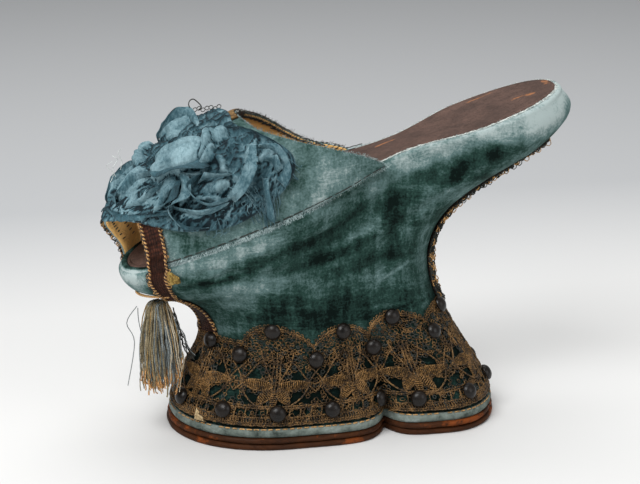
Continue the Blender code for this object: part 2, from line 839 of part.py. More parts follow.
def circle(centre, radius, sides, start=0.0):
    """Points round a level circle."""
    return [
        centre + Vector((math.cos(a), math.sin(a), 0.0)) * radius
        for a in steps(start, start + 2 * math.pi, sides)[:-1]
    ]


def lock_rings(turn_degrees, reach, tip_z, thick):
    """Sections of one lock of threads, from inside the head to its tip."""
    turn = math.radians(turn_degrees)
    aside = Vector((math.cos(turn), math.sin(turn), 0.0))
    start = Vector(TASSEL_TOP) + aside * (TASSEL_SPREAD if reach else 0.0)
    tip = Vector((*TASSEL_FOOT, tip_z)) + aside * reach
    rings = []
    for share, scale in ((0.0, 0.75), (0.4, 0.95), (0.85, 1.0), (1.0, 0.55)):
        centre = start.lerp(tip, share**0.8)
        centre.z = blend(start.z, tip.z, share)
        rings.append(circle(centre, thick * scale, LOCK_SIDES, turn))
    return rings


def build_tassel(threads, cord):
    """A bound head and, fused under it, a skirt of separate locks."""
    locks = [
        tube(f"tassel_lock_{number}", lock_rings(*row), threads)
        for number, row in enumerate(TASSEL_LOCKS)
    ]
    skirt = locks.pop()
    skirt.name = "tassel_skirt"
    for lock in locks:
        fuse(skirt, lock)
    foot = Vector(TASSEL_TOP) + Vector((0.0, 0.0, GAP))
    rings = [
        circle(foot + Vector((0.0, 0.0, rise)), TASSEL_HEAD_RADIUS * scale, HEAD_SIDES)
        for rise, scale in (
            (0.0, 0.85),
            (0.25 * TASSEL_HEAD_HEIGHT, 1.0),
            (0.75 * TASSEL_HEAD_HEIGHT, 1.0),
            (TASSEL_HEAD_HEIGHT, 0.7),
        )
    ]
    tube("tassel_head", rings, cord)


def main():
    for old in list(bpy.data.objects):
        bpy.data.objects.remove(old)
    velvet = material("green_velvet", (0.10, 0.20, 0.21), 0.8)
    pale_velvet = material("pale_velvet", (0.42, 0.55, 0.58), 0.85)
    sole_leather = material("sole_leather", (0.16, 0.06, 0.03), 0.5)
    insole_leather = material("insole_leather", (0.16, 0.09, 0.07), 0.6)
    dark_tape = material("dark_tape", (0.10, 0.06, 0.07), 0.7)
    metal_lace = material("metal_lace", (0.30, 0.21, 0.10), 0.5, 0.6)
    nail_metal = material("nail_metal", (0.10, 0.07, 0.08), 0.3, 0.8)
    blue_silk = material("blue_silk", (0.20, 0.38, 0.47), 0.6)
    gold_thread = material("gold_thread", (0.55, 0.38, 0.15), 0.5, 0.3)
    build_outsole(sole_leather)
    build_band(pale_velvet)
    build_platform(velvet)
    build_insole(insole_leather)
    build_vamp(velvet)
    build_toe_binding(dark_tape)
    build_throat_braid(metal_lace)
    build_front_tapes(dark_tape)
    build_back_braid(metal_lace)
    build_lace(metal_lace)
    build_nails(nail_metal)
    build_rosette(blue_silk)
    build_tassel(gold_thread, gold_thread)


main()
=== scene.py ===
"""Dresses the chopine: velvet, leather, lace, tapes, nails, silk rosette and tassel."""

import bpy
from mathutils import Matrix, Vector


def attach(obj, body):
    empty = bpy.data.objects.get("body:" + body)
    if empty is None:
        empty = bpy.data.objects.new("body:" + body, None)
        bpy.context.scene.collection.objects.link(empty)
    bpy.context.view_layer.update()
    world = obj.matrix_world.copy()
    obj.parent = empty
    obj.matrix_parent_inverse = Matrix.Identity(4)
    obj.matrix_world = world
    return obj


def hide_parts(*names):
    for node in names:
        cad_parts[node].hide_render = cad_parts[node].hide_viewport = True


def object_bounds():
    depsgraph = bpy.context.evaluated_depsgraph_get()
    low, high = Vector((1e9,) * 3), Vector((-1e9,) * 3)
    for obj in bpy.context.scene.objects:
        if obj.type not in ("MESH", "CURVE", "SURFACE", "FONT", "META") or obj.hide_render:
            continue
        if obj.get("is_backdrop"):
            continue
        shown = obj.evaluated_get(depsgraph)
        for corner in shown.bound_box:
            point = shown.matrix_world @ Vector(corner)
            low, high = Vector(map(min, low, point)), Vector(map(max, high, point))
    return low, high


bl_info = {
    "name": "Chopine shoe",
    "version": (1, 0, 0),
    "blender": (4, 5, 0),
    "location": "View3D > Sidebar > Chopine",
    "description": "Builds the cloth, leather and metal thread of a chopine round its solids",
    "category": "Object",
}

import math
import random
from collections import namedtuple

import bmesh
import bpy
import numpy as np
from bpy.props import FloatProperty, FloatVectorProperty, IntProperty, PointerProperty
from mathutils import Matrix, Vector, noise

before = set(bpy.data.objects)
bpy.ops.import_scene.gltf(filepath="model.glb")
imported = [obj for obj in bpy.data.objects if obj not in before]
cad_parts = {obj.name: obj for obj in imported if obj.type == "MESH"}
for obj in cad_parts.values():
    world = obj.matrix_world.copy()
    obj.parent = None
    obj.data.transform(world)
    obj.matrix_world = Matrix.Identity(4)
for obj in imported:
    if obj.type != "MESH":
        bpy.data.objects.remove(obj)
SOLID_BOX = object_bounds()
BODY = "root"
MM = 0.001
SAME_PLACE = 0.001

# Sizes that the solids share, in millimetres
GAP = 0.3
OUTSOLE_LAYER = 2.7
BAND_LOW = 6.0
BAND_HIGH = 10.2
INSOLE_INSET = 3.2
VAMP_WALL = 1.8
LIP_AT = 0.655
LIP_SPREAD = 0.05
LIP_CLEARANCE = 0.9
NAIL_RADIUS = 4.1
NAIL_HEIGHT = 2.7
BALL_AT = 0.33
NOTCH_AT = 0.627
HEEL_AT = 0.81
RAMP_TOE = (-96.0, 81.0)
RAMP_HEEL = (118.0, 158.5)
RAMP_BOW = 2.5

# Carved platform, one row a level from the base up. front and back are the ends of the
# ring, ball, waist and heel its half widths, notch how far the cleft cuts in, prow and
# stern how blunt its ends are, and bow how much of the footbed's bow it takes.
Level = namedtuple(
    "Level",
    "front_x front_z back_x back_z ball waist heel notch prow stern bow",
)
OUTSOLE_LEVEL = Level(-75.5, 0, 85.5, 0, 46, 28, 42, 1, 2.1, 2.1, 0)
LEVELS = (
    Level(-73.5, 10.6, 84, 10.6, 44.5, 27, 40.5, 1, 2.1, 2.1, 0),
    Level(-70, 20, 79, 21, 42.5, 27.5, 37.5, 0.8, 1.9, 1.9, 0),
    Level(-64.5, 31, 72, 32, 40, 28.5, 33.5, 0.45, 1.7, 1.8, 0),
    Level(-59.5, 42, 64.5, 45, 37.5, 29, 29.5, 0.15, 1.5, 1.6, 0),
    Level(-58.5, 51, 57.5, 58, 36, 29, 26, 0, 1.5, 1.5, 0),
    Level(-62.5, 59, 54, 72, 35.5, 29.5, 24, 0, 1.5, 1.5, 0),
    Level(-70, 63.5, 54.5, 84, 35, 29.5, 23, 0, 1.5, 1.5, 0.2),
    Level(-79, 66, 59.5, 95, 35.3, 29, 22, 0, 1.6, 1.5, 0.4),
    Level(-87, 68, 69, 105, 36, 28, 21, 0, 1.7, 1.5, 0.6),
    Level(-92, 70.5, 88, 118, 37, 24.5, 20.5, 0, 1.9, 1.6, 0.8),
    Level(-95.5, 74.5, 110, 132, 38, 20.5, 24.5, 0, 2.1, 1.8, 0.9),
    Level(-96.8, 77.5, 120, 143, 38.6, 18.5, 28.3, 0, 2.2, 2, 1),
    Level(-97, 79.5, 123, 151.5, 38.8, 18, 29.5, 0, 2.2, 2.1, 1),
    Level(-96, 81, 118, 158.5, 38.2, 17.5, 28.8, 0, 2.2, 2.2, 1),
)
TOP = len(LEVELS) - 1

# Vamp sections. Columns: station x, half width at the sole, ridge height, fullness.
VAMP_SECTIONS = (
    (-108, 11, 99, 2.2),
    (-98, 13, 110, 2.3),
    (-93, 15, 116, 2.3),
    (-88, 20.3, 122, 2.4),
    (-78, 28, 132.5, 2.4),
    (-60, 34.3, 144, 2.4),
    (-40, 37.6, 151.5, 2.3),
    (-20, 37.8, 157, 2.2),
    (4, 33, 162, 2.1),
    (27, 22.5, 166, 2),
)
# The vamp's open edges. Columns: across (-1 near sole, 0 ridge, 1 far sole), station.
TOE_EDGE = (
    (-1, -85), (-0.75, -87.5), (-0.5, -89.5), (-0.25, -92), (0, -98),
    (0.25, -102.5), (0.5, -102), (0.75, -98.5), (1, -93.5),
)
THROAT_EDGE = (
    (-1, 27), (-0.85, 17), (-0.7, 2), (-0.5, -19), (-0.3, -34), (0, -40),
    (0.3, -34), (0.5, -23), (0.7, -11), (0.85, 1), (1, 20),
)
# Front keel tapes. Columns: level, near tape's inner and outer edge, then the far tape's.
FRONT_TAPES = (
    (3.45, 0.6, 13, 0.6, 13),
    (4, 0.6, 12.5, 0.6, 12.5),
    (5, 0.6, 11.5, 0.6, 11.5),
    (6, 1.5, 12.5, 0.8, 12),
    (7, 8.5, 17, 5, 13.5),
    (8, 17, 21.5, 10, 17.5),
    (9, 20.5, 25, 12.5, 20),
    (10, 22.3, 27, 14, 21.5),
    (11, 23.3, 28, 14.8, 22.3),
    (12, 23.6, 28.5, 15, 22.5),
    (12.2, 23.7, 28.6, 15, 22.5),
)
BACK_BRAID_HALF = 4.5
BACK_BRAID_LEVELS = (3.6, 10.2)
CORD_PITCH = 1.9

# The lace's scalloped top edge. Columns: motifs from the front keel, height.
LACE_MOTIFS = 5
ALL_MOTIFS = 2 * LACE_MOTIFS
LACE_FOOT_Z = 12.0
LACE_TOP = (
    (0, 40), (0.5, 46), (1, 42.5), (1.5, 56.5), (2, 42), (2.5, 53),
    (3, 44), (3.5, 57), (4, 47), (4.5, 55), (5, 49),
)
NAIL_SEAT = 2.4
NAIL_LIP_SEAT = 1.3
LOW_NAIL_Z = 17.5
LOW_NAILS = 8
HIGH_NAILS_A_MOTIF = 2
HIGH_NAIL_DROP = 1.0

# Creases of the velvet on the platform's sides: folds run up towards the heel.
# Columns: side (-1 near, 1 far), start x and z, end x and z, width, depth.
CREASES = (
    (-1, -72, 78, -46, 85.5, 1.3, 0.75),
    (-1, -46, 85.5, -30, 93.5, 1.2, 0.6),
    (-1, -64, 77, -44, 81.5, 1, 0.55),
    (-1, -62, 86, -38, 87.5, 1, 0.5),
    (-1, -18, 97, 8, 105, 1.5, 0.7),
    (-1, 8, 105, 20, 112.5, 1.2, 0.5),
    (-1, -12, 87, 8, 91.5, 1.3, 0.6),
    (-1, 4, 90, 15, 96, 1.1, 0.5),
    (-1, -36, 83, -20, 88.5, 1.5, 0.4),
    (-1, 22, 73, 37, 79.5, 1.2, 0.45),
    (-1, 12, 61.5, 36, 61, 1.2, 0.35),
    (-1, 30, 108, 47, 120, 1.6, 0.4),
    (1, -70, 77.5, -42, 86, 1.3, 0.7),
    (1, -60, 84.5, -34, 90, 1.1, 0.5),
    (1, -22, 95.5, 6, 104, 1.5, 0.65),
    (1, -10, 85, 12, 94, 1.3, 0.55),
    (1, 20, 72, 36, 81, 1.2, 0.45),
    (1, 10, 60, 34, 63.5, 1.2, 0.35),
    (1, 32, 109, 52, 124, 1.6, 0.4),
)
# Where the nap is crushed pale (amount above 0), and painted shade in the velvet's creases and
# shaded hollows (below 0).
# Columns: side, centre x and z, reach along and across, turn in degrees, amount.
NAP_AND_SHADE_PATCHES = (
    (-1, -40, 97, 40, 4, 20, 0.55),
    (-1, -50, 76, 20, 4, 12, 0.5),
    (-1, -38, 72, 17, 5, 25, 0.5),
    (-1, -58, 80.5, 15, 1.8, 15, -0.6),
    (-1, -30, 92, 22, 2.2, 27, -0.35),
    (-1, -12, 100.5, 16, 2, 20, 0.35),
    (-1, 0, 103, 18, 3, 22, -0.6),
    (-1, 12, 97.5, 18, 2.6, 24, 0.45),
    (-1, -3, 88.5, 14, 2.6, 14, -0.6),
    (-1, -14, 82, 15, 2.4, 18, 0.3),
    (-1, 2, 80, 14, 3, 20, -0.35),
    (-1, 30, 76.5, 9, 0.9, 25, 0.6),
    (-1, 24, 61.5, 13, 0.9, 0, 0.5),
    (-1, 0, 60, 40, 9, 5, -0.55),
    (-1, 34, 112, 7, 12, 40, -0.5),
    (-1, 26, 119, 8, 6, 30, 0.55),
    (-1, 44, 127, 16, 2.4, 24, 0.45),
    (-1, 63, 127, 7, 4, 60, -0.7),
    (-1, 77, 133.5, 6, 4.5, 50, -0.65),
    (-1, 90, 138, 5, 4, 60, -0.4),
    (-1, 60, 117, 18, 2, 35, 0.35),
    (-1, 106, 147, 10, 6, 30, 0.7),
    (-1, 48, 86, 3, 22, 0, 0.3),
    (-1, 30, 92, 4, 16, 0, -0.35),
    (1, -44, 95, 38, 4.5, 20, 0.5),
    (1, -46, 74, 22, 5, 16, 0.45),
    (1, -54, 81, 15, 2, 14, -0.55),
    (1, 0, 101, 18, 3, 22, -0.55),
    (1, 10, 95, 18, 2.8, 26, 0.4),
    (1, -6, 84, 15, 3, 16, -0.45),
    (1, 0, 60, 40, 9, 5, -0.5),
    (1, 30, 77, 10, 1, 22, 0.5),
    (1, 38, 112, 8, 12, 40, -0.45),
    (1, 52, 127, 16, 2.6, 24, 0.45),
    (1, 74, 131, 8, 4.5, 50, -0.6),
    (1, 106, 147, 10, 6, 30, 0.6),
)


def blend(a, b, share):
    return a + (b - a) * share


def clamp(value, low=0.0, high=1.0):
    return min(max(value, low), high)


def bell(distance, width):
    """1 at no distance, falling softly to 0 past the width."""
    return math.exp(-((distance / width) ** 2))


def curve_through(before, a, b, after, share):
    """A smooth run from a to b that also heeds the values on either side."""
    slope_a = (b - before) / 2
    slope_b = (after - a) / 2
    s2 = share * share
    s3 = s2 * share
    return (
        (2 * s3 - 3 * s2 + 1) * a
        + (s3 - 2 * s2 + share) * slope_a
        + (3 * s2 - 2 * s3) * b
        + (s3 - s2) * slope_b
    )


def smooth_path(points, pieces):
    """Points along one smooth curve through the given ones, a few for each stretch."""
    points = [Vector(p) for p in points]
    path = []
    last = len(points) - 1
    for k in range(last):
        around = [points[clamp(k + n, 0, last)] for n in (-1, 0, 1, 2)]
        path += [curve_through(*around, step / pieces) for step in range(pieces)]
    return path + [points[-1]]


def value_at(table, key, column=1):
    """A table's column at any value of its first column, eased between rows."""
    last = len(table) - 1
    first = 0
    while first < last - 1 and table[first + 1][0] < key:
        first += 1
    share = (key - table[first][0]) / (table[first + 1][0] - table[first][0])
    if share < 0 or share > 1:
        return blend(table[first][column], table[first + 1][column], share)
    rows = [table[clamp(first + k, 0, last)][column] for k in (-1, 0, 1, 2)]
    return curve_through(*rows, share)


def level_at(level):
    """The platform's row at any place between its levels, eased from row to row."""
    first = clamp(int(math.floor(level)), 0, TOP - 1)
    rows = [LEVELS[clamp(first + k, 0, TOP)] for k in (-1, 0, 1, 2)]
    return Level(*(curve_through(*values, level - first) for values in zip(*rows)))


def ramp_z(x):
    """Height of the footbed's straight ramp at station x."""
    share = (x - RAMP_TOE[0]) / (RAMP_HEEL[0] - RAMP_TOE[0])
    return blend(RAMP_TOE[1], RAMP_HEEL[1], share)


def bow_z(x):
    """How far the footbed bows up above its ramp at station x."""
    share = (x - RAMP_TOE[0]) / (RAMP_HEEL[0] - RAMP_TOE[0])
    return RAMP_BOW * math.sin(math.pi * clamp(share)) ** 2


def half_width(row, share):
    """Half the platform's width at a share of its length from toe to heel."""
    if share <= BALL_AT:
        reach = (BALL_AT - share) / BALL_AT
        return row.ball * max(1 - reach**row.prow, 0.0) ** (1 / row.prow)
    if share >= HEEL_AT:
        reach = (share - HEEL_AT) / (1 - HEEL_AT)
        return row.heel * max(1 - reach**row.stern, 0.0) ** (1 / row.stern)
    if share < NOTCH_AT:
        wide, reach, lobe = row.ball, (share - BALL_AT) / (NOTCH_AT - BALL_AT), 6
    else:
        wide, reach, lobe = row.heel, (HEEL_AT - share) / (HEEL_AT - NOTCH_AT), 5
    soft = row.waist + (wide - row.waist) * 0.5 * (1 + math.cos(math.pi * reach))
    cleft = wide * math.sqrt(1 - (1 - (row.waist / wide) ** 2) * reach**lobe)
    return blend(soft, cleft, row.notch)


def platform_point(row, share, side):
    """A point on the platform's skin: row of the table, share of length, side -1 or 1."""
    x = blend(row.front_x, row.back_x, share)
    z = blend(row.front_z, row.back_z, share) + row.bow * bow_z(x)
    return Vector((x, side * half_width(row, share), z))


def grown(row, by):
    """The same row with its outline pushed out all round."""
    return row._replace(
        front_x=row.front_x - by,
        back_x=row.back_x + by,
        ball=row.ball + by,
        waist=row.waist + by,
        heel=row.heel + by,
    )


def at_height(row, z):
    """A row laid flat at height z."""
    return row._replace(front_z=z, back_z=z)


def share_at(row, y, heel_end=False):
    """The share of the length where the outline is y from the middle, near one end."""
    if heel_end:
        reach = (1 - (abs(y) / row.heel) ** row.stern) ** (1 / row.stern)
        return HEEL_AT + (1 - HEEL_AT) * reach
    reach = (1 - (abs(y) / row.ball) ** row.prow) ** (1 / row.prow)
    return BALL_AT * (1 - reach)


def vamp_section(x, across):
    """A point on the vamp's outer skin: station x, across from -1 near to 1 far."""
    half = value_at(VAMP_SECTIONS, x, 1)
    ridge = value_at(VAMP_SECTIONS, x, 2)
    full = value_at(VAMP_SECTIONS, x, 3)
    base = ramp_z(x) + bow_z(x) + GAP
    turn = across * math.pi / 2
    y = half * math.copysign(abs(math.sin(turn)) ** (2 / full), across)
    z = base + (ridge - base) * max(math.cos(turn), 0.0) ** (2 / full)
    return Vector((x, y, z))


def run_along(points):
    """The distance run to each point of a path."""
    return np.concatenate(([0.0], np.cumsum(np.linalg.norm(np.diff(points, axis=0), axis=1))))


def even_shares(row, count):
    """Shares of the length that cut one side of a ring into equal runs."""
    # the ends of the ring turn sharply, so the shares bunch up there
    shares = 0.5 * (1 - np.cos(math.pi * np.linspace(0.0, 1.0, 600)))
    points = np.array([platform_point(row, share, -1) for share in shares])
    run = run_along(points)
    return np.interp(np.linspace(0.0, run[-1], count + 1), run, shares)


class Skin:
    """A smooth surface kept as a grid of points, to place things on by two shares."""

    def __init__(self, points, closed=False):
        self.points = np.array(points, dtype=float)
        self.closed = closed
        if closed:
            ahead = np.roll(self.points, -1, axis=0) - np.roll(self.points, 1, axis=0)
        else:
            ahead = np.gradient(self.points, axis=0)
        normals = np.cross(ahead, np.gradient(self.points, axis=1))
        length = np.linalg.norm(normals, axis=2, keepdims=True)
        self.normals = normals / np.maximum(length, 1e-9)

    def at(self, u, v, lift=0.0):
        """The point at u along and v up, each 0 to 1, lifted square to the skin."""
        columns, rows = self.points.shape[:2]
        place = u % 1.0 * columns if self.closed else clamp(u) * (columns - 1)
        i = int(place) if self.closed else min(int(place), columns - 2)
        after = (i + 1) % columns
        height = clamp(v) * (rows - 1)
        j = min(int(height), rows - 2)
        a = place - i
        b = height - j
        weights = ((1 - a) * (1 - b), a * (1 - b), (1 - a) * b, a * b)
        corners = ((i, j), (after, j), (i, j + 1), (after, j + 1))
        point = sum(w * self.points[c] for w, c in zip(weights, corners))
        normal = sum(w * self.normals[c] for w, c in zip(weights, corners))
        normal = normal / max(np.linalg.norm(normal), 1e-9)
        return Vector(point + normal * lift)


# The platform's skin runs round from the toe along the near side and back along the far
SKIN_COLUMNS = 300
SKIN_ROWS = 150
SIDE_SHARES = even_shares(level_at(6.5), SKIN_COLUMNS // 2)


def round_share(u):
    """Share of the length and side for a share of the way round."""
    half = SKIN_COLUMNS // 2
    along = half * (2 * u if u <= 0.5 else 2 * (1 - u))
    return float(np.interp(along, range(half + 1), SIDE_SHARES)), -1 if u <= 0.5 else 1


def platform_skin():
    points = []
    for u in np.arange(SKIN_COLUMNS) / SKIN_COLUMNS:
        share, side = round_share(u)
        points.append([
            platform_point(level_at(TOP * v), share, side)
            for v in np.linspace(0.0, 1.0, SKIN_ROWS)
        ])
    return Skin(points, closed=True)


PLATFORM = platform_skin()


def on_platform(level, share, side, lift=0.0):
    """A point over the platform: level, share of its length, side -1 or 1."""
    along = float(np.interp(share, SIDE_SHARES, np.linspace(0.0, 0.5, len(SIDE_SHARES))))
    return PLATFORM.at(along if side < 0 else 1 - along, level / TOP, lift)


VAMP_FROM = -112.0
VAMP_TO = 30.0
VAMP = Skin([
    [vamp_section(blend(VAMP_FROM, VAMP_TO, u), 2 * v - 1) for v in np.linspace(0.0, 1.0, 97)]
    for u in np.linspace(0.0, 1.0, 143)
])


def on_vamp(x, across, lift=0.0):
    """A point over the vamp: station, across from -1 near to 1 far."""
    return VAMP.at((x - VAMP_FROM) / (VAMP_TO - VAMP_FROM), (across + 1) / 2, lift)


# The flared base, by turns of the lace's motifs and by height
BASE_LOW_Z = 10.6
BASE_HIGH_Z = 60.0
BASE_COLUMNS = 320
BASE_ROWS = 60


def base_skin():
    heights = np.linspace(BASE_LOW_Z, BASE_HIGH_Z, BASE_ROWS)
    half = BASE_COLUMNS // 2
    shares = even_shares(LEVELS[1], half)
    rows = [level_at(level) for level in np.linspace(0.0, 6.5, 90)]
    points = []
    for column in range(BASE_COLUMNS):
        side = -1 if column <= half else 1
        share = shares[min(column, BASE_COLUMNS - column)]
        line = np.array([platform_point(row, share, side) for row in rows])
        places = [np.interp(heights, line[:, 2], line[:, k]) for k in range(3)]
        points.append(np.stack(places, axis=1))
    return Skin(points, closed=True), shares


BASE, BASE_SHARES = base_skin()


def on_base(turn, z, lift):
    """A point over the flared base: turn in motifs (0 to 5 near side), height."""
    u = turn / ALL_MOTIFS
    along = u % 1.0 * BASE_COLUMNS
    along = min(along, BASE_COLUMNS - along)
    share = float(np.interp(along, range(BASE_COLUMNS // 2 + 1), BASE_SHARES))
    extra = LIP_CLEARANCE * bell(share - LIP_AT, LIP_SPREAD) * clamp(lift)
    return BASE.at(u, (z - BASE_LOW_Z) / (BASE_HIGH_Z - BASE_LOW_Z), lift + extra)


def crease_relief(points):
    """Height of the creases over the platform's skin, for a grid of points."""
    x, y, z = points[..., 0], points[..., 1], points[..., 2]
    relief = np.zeros_like(x)
    for side, x0, z0, x1, z1, width, depth in CREASES:
        along = np.array((x1 - x0, z1 - z0), dtype=float)
        length = np.linalg.norm(along)
        along /= length
        run = ((x - x0) * along[0] + (z - z0) * along[1]) / length
        bend = 1.2 * np.sin(run * 5.0 + x0)
        off = (z - z0) * along[0] - (x - x0) * along[1] - bend
        ends = np.sqrt(np.sin(np.pi * np.clip(run, 0.0, 1.0)))
        trough = -np.exp(-((off / width) ** 2))
        ridge = 0.7 * np.exp(-(((off - 1.7 * width) / (1.3 * width)) ** 2))
        relief += np.where(np.sign(y) == side, depth * ends * (trough + ridge), 0.0)
    return relief


def nap_and_shade_marks(points):
    """How pale the nap is laid, below 0 where shade is painted, for a grid of points."""
    x, y, z = points[..., 0], points[..., 1], points[..., 2]
    marks = np.zeros_like(x)
    for side, x0, z0, along, across, turn, amount in NAP_AND_SHADE_PATCHES:
        c, s = math.cos(math.radians(turn)), math.sin(math.radians(turn))
        run = ((x - x0) * c + (z - z0) * s) / along
        off = ((z - z0) * c - (x - x0) * s) / across
        here = np.exp(-(run**2 + off**2))
        marks += np.where(np.sign(y) == side, amount * here, 0.0)
    return marks


def soft_noise(points, scale, seed):
    """Smooth noise from -1 to 1 for a grid of points in millimetres."""
    shift = Vector((seed, 2 * seed, 3 * seed))
    flat = points.reshape(-1, 3)
    values = [noise.noise(Vector(p) / scale + shift) for p in flat]
    return np.array(values).reshape(points.shape[:-1])


def cloth(points, **marks):
    """A tube of quads through rings of points, with each mark's value at each point."""
    points = np.concatenate((points, points[:1]))
    marks = {name: np.concatenate((values, values[:1])) for name, values in marks.items()}
    columns, rows = points.shape[:2]
    bm = bmesh.new()
    bm.loops.layers.uv.new("UVMap")
    layers = {name: bm.verts.layers.float.new(name) for name in marks}
    bmesh.ops.create_grid(
        bm, x_segments=columns - 1, y_segments=rows - 1, size=0.5, calc_uvs=True,
    )
    for vert in bm.verts:
        i = round((vert.co.x + 0.5) * (columns - 1))
        j = round((vert.co.y + 0.5) * (rows - 1))
        vert.co = points[i, j]
        for name, layer in layers.items():
            vert[layer] = marks[name][i, j]
    bmesh.ops.remove_doubles(bm, verts=bm.verts, dist=SAME_PLACE)
    return bm


def fill_ends(bm):
    """Closes every open ring of edges with one face."""
    open_edges = [edge for edge in bm.edges if edge.is_boundary]
    bmesh.ops.holes_fill(bm, edges=open_edges, sides=0)


def put_in(name, mesh, replaced):
    """Puts a finished mesh in the scene and hides the solids that it stands for."""
    mesh.shade_smooth()
    piece = bpy.data.objects.new(name, mesh)
    bpy.context.scene.collection.objects.link(piece)
    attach(piece, BODY)
    if replaced:
        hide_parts(*replaced)
    return piece


def add_piece(name, bm, finish, replaced=(), outwards=True):
    """Turns a bmesh in millimetres into a smooth piece in metres."""
    if outwards:
        bmesh.ops.recalc_face_normals(bm, faces=bm.faces)
    bmesh.ops.scale(bm, vec=(MM, MM, MM), verts=bm.verts)
    mesh = bpy.data.meshes.new(name)
    bm.to_mesh(mesh)
    bm.free()
    mesh.materials.append(finish)
    return put_in(name, mesh, replaced)


def add_tube(name, points, finish, slot, replaced=(), **marks):
    """Turns open rings of points into a piece with both of its ends closed."""
    bm = cloth(points, **marks)
    fill_ends(bm)
    return add_piece(name, bm, finish, replaced)


# One stretch of cord: its points, its radius or a radius a point, its finish, if it is a ring
Run = namedtuple("Run", "points radius finish closed", defaults=(0, False))


def add_cords(name, runs, finishes, replaced=()):
    """One joined mesh of many cords, each swept along its own points."""
    data = bpy.data.curves.new(name, "CURVE")
    data.dimensions = "3D"
    data.bevel_depth = MM
    data.bevel_resolution = 0
    data.use_fill_caps = True
    for finish in finishes:
        data.materials.append(finish)
    for stretch in runs:
        spline = data.splines.new("POLY")
        count = len(stretch.points)
        spline.points.add(count - 1)
        places = np.ones((count, 4))
        places[:, :3] = np.array([tuple(p) for p in stretch.points]) * MM
        spline.points.foreach_set("co", places.ravel())
        radii = np.broadcast_to(np.array(stretch.radius, dtype=float), (count,))
        spline.points.foreach_set("radius", radii.copy())
        spline.use_cyclic_u = stretch.closed
        spline.material_index = stretch.finish
    guide = bpy.data.objects.new(f"{name}_guide", data)
    bpy.context.scene.collection.objects.link(guide)
    mesh = bpy.data.meshes.new_from_object(guide)
    mesh.name = name
    bpy.data.objects.remove(guide)
    bpy.data.curves.remove(data)
    return put_in(name, mesh, replaced)


def twisted(path, ups, reach, pitch):
    """Paths of the two strands of a twisted cord that follows a path on a surface."""
    lengths = [0.0]
    for a, b in zip(path, path[1:]):
        lengths.append(lengths[-1] + (b - a).length)
    strands = [], []
    for k, (point, up, length) in enumerate(zip(path, ups, lengths)):
        ahead = (path[min(k + 1, len(path) - 1)] - path[max(k - 1, 0)]).normalized()
        aside = ahead.cross(up).normalized()
        for number, line in enumerate(strands):
            turn = 2 * math.pi * (length / pitch + number / 2)
            line.append(point + (up * math.sin(turn) + aside * math.cos(turn)) * reach)
    return strands


def resampled(path, step):
    """The same path with points a step apart."""
    array = np.array([tuple(p) for p in path])
    run = run_along(array)
    count = max(int(run[-1] / step), 2)
    places = np.linspace(0.0, run[-1], count + 1)
    return [Vector([float(np.interp(t, run, array[:, k])) for k in range(3)]) for t in places]


def spun_cord(path, step, up, radius, finishes=(0, 1), reach=0.4, pitch=CORD_PITCH):
    """Runs of a two-strand cord along a path; up gives the way off the cloth at a share."""
    fine = resampled(path, step)
    ups = [up(k / (len(fine) - 1)) for k in range(len(fine))]
    strands = twisted(fine, ups, reach, pitch)
    return [Run(line, radius, finish) for line, finish in zip(strands, finishes)]


def angles(sides):
    """Even angles round a full turn."""
    return np.linspace(0.0, 2 * math.pi, sides, endpoint=False)


def ring_of(centre, one, two, reach, sides=10, squash=1.0):
    """Points round a small loop that lies in the plane of two directions."""
    return [
        centre + one * (reach * math.cos(a)) + two * (reach * squash * math.sin(a))
        for a in angles(sides)
    ]


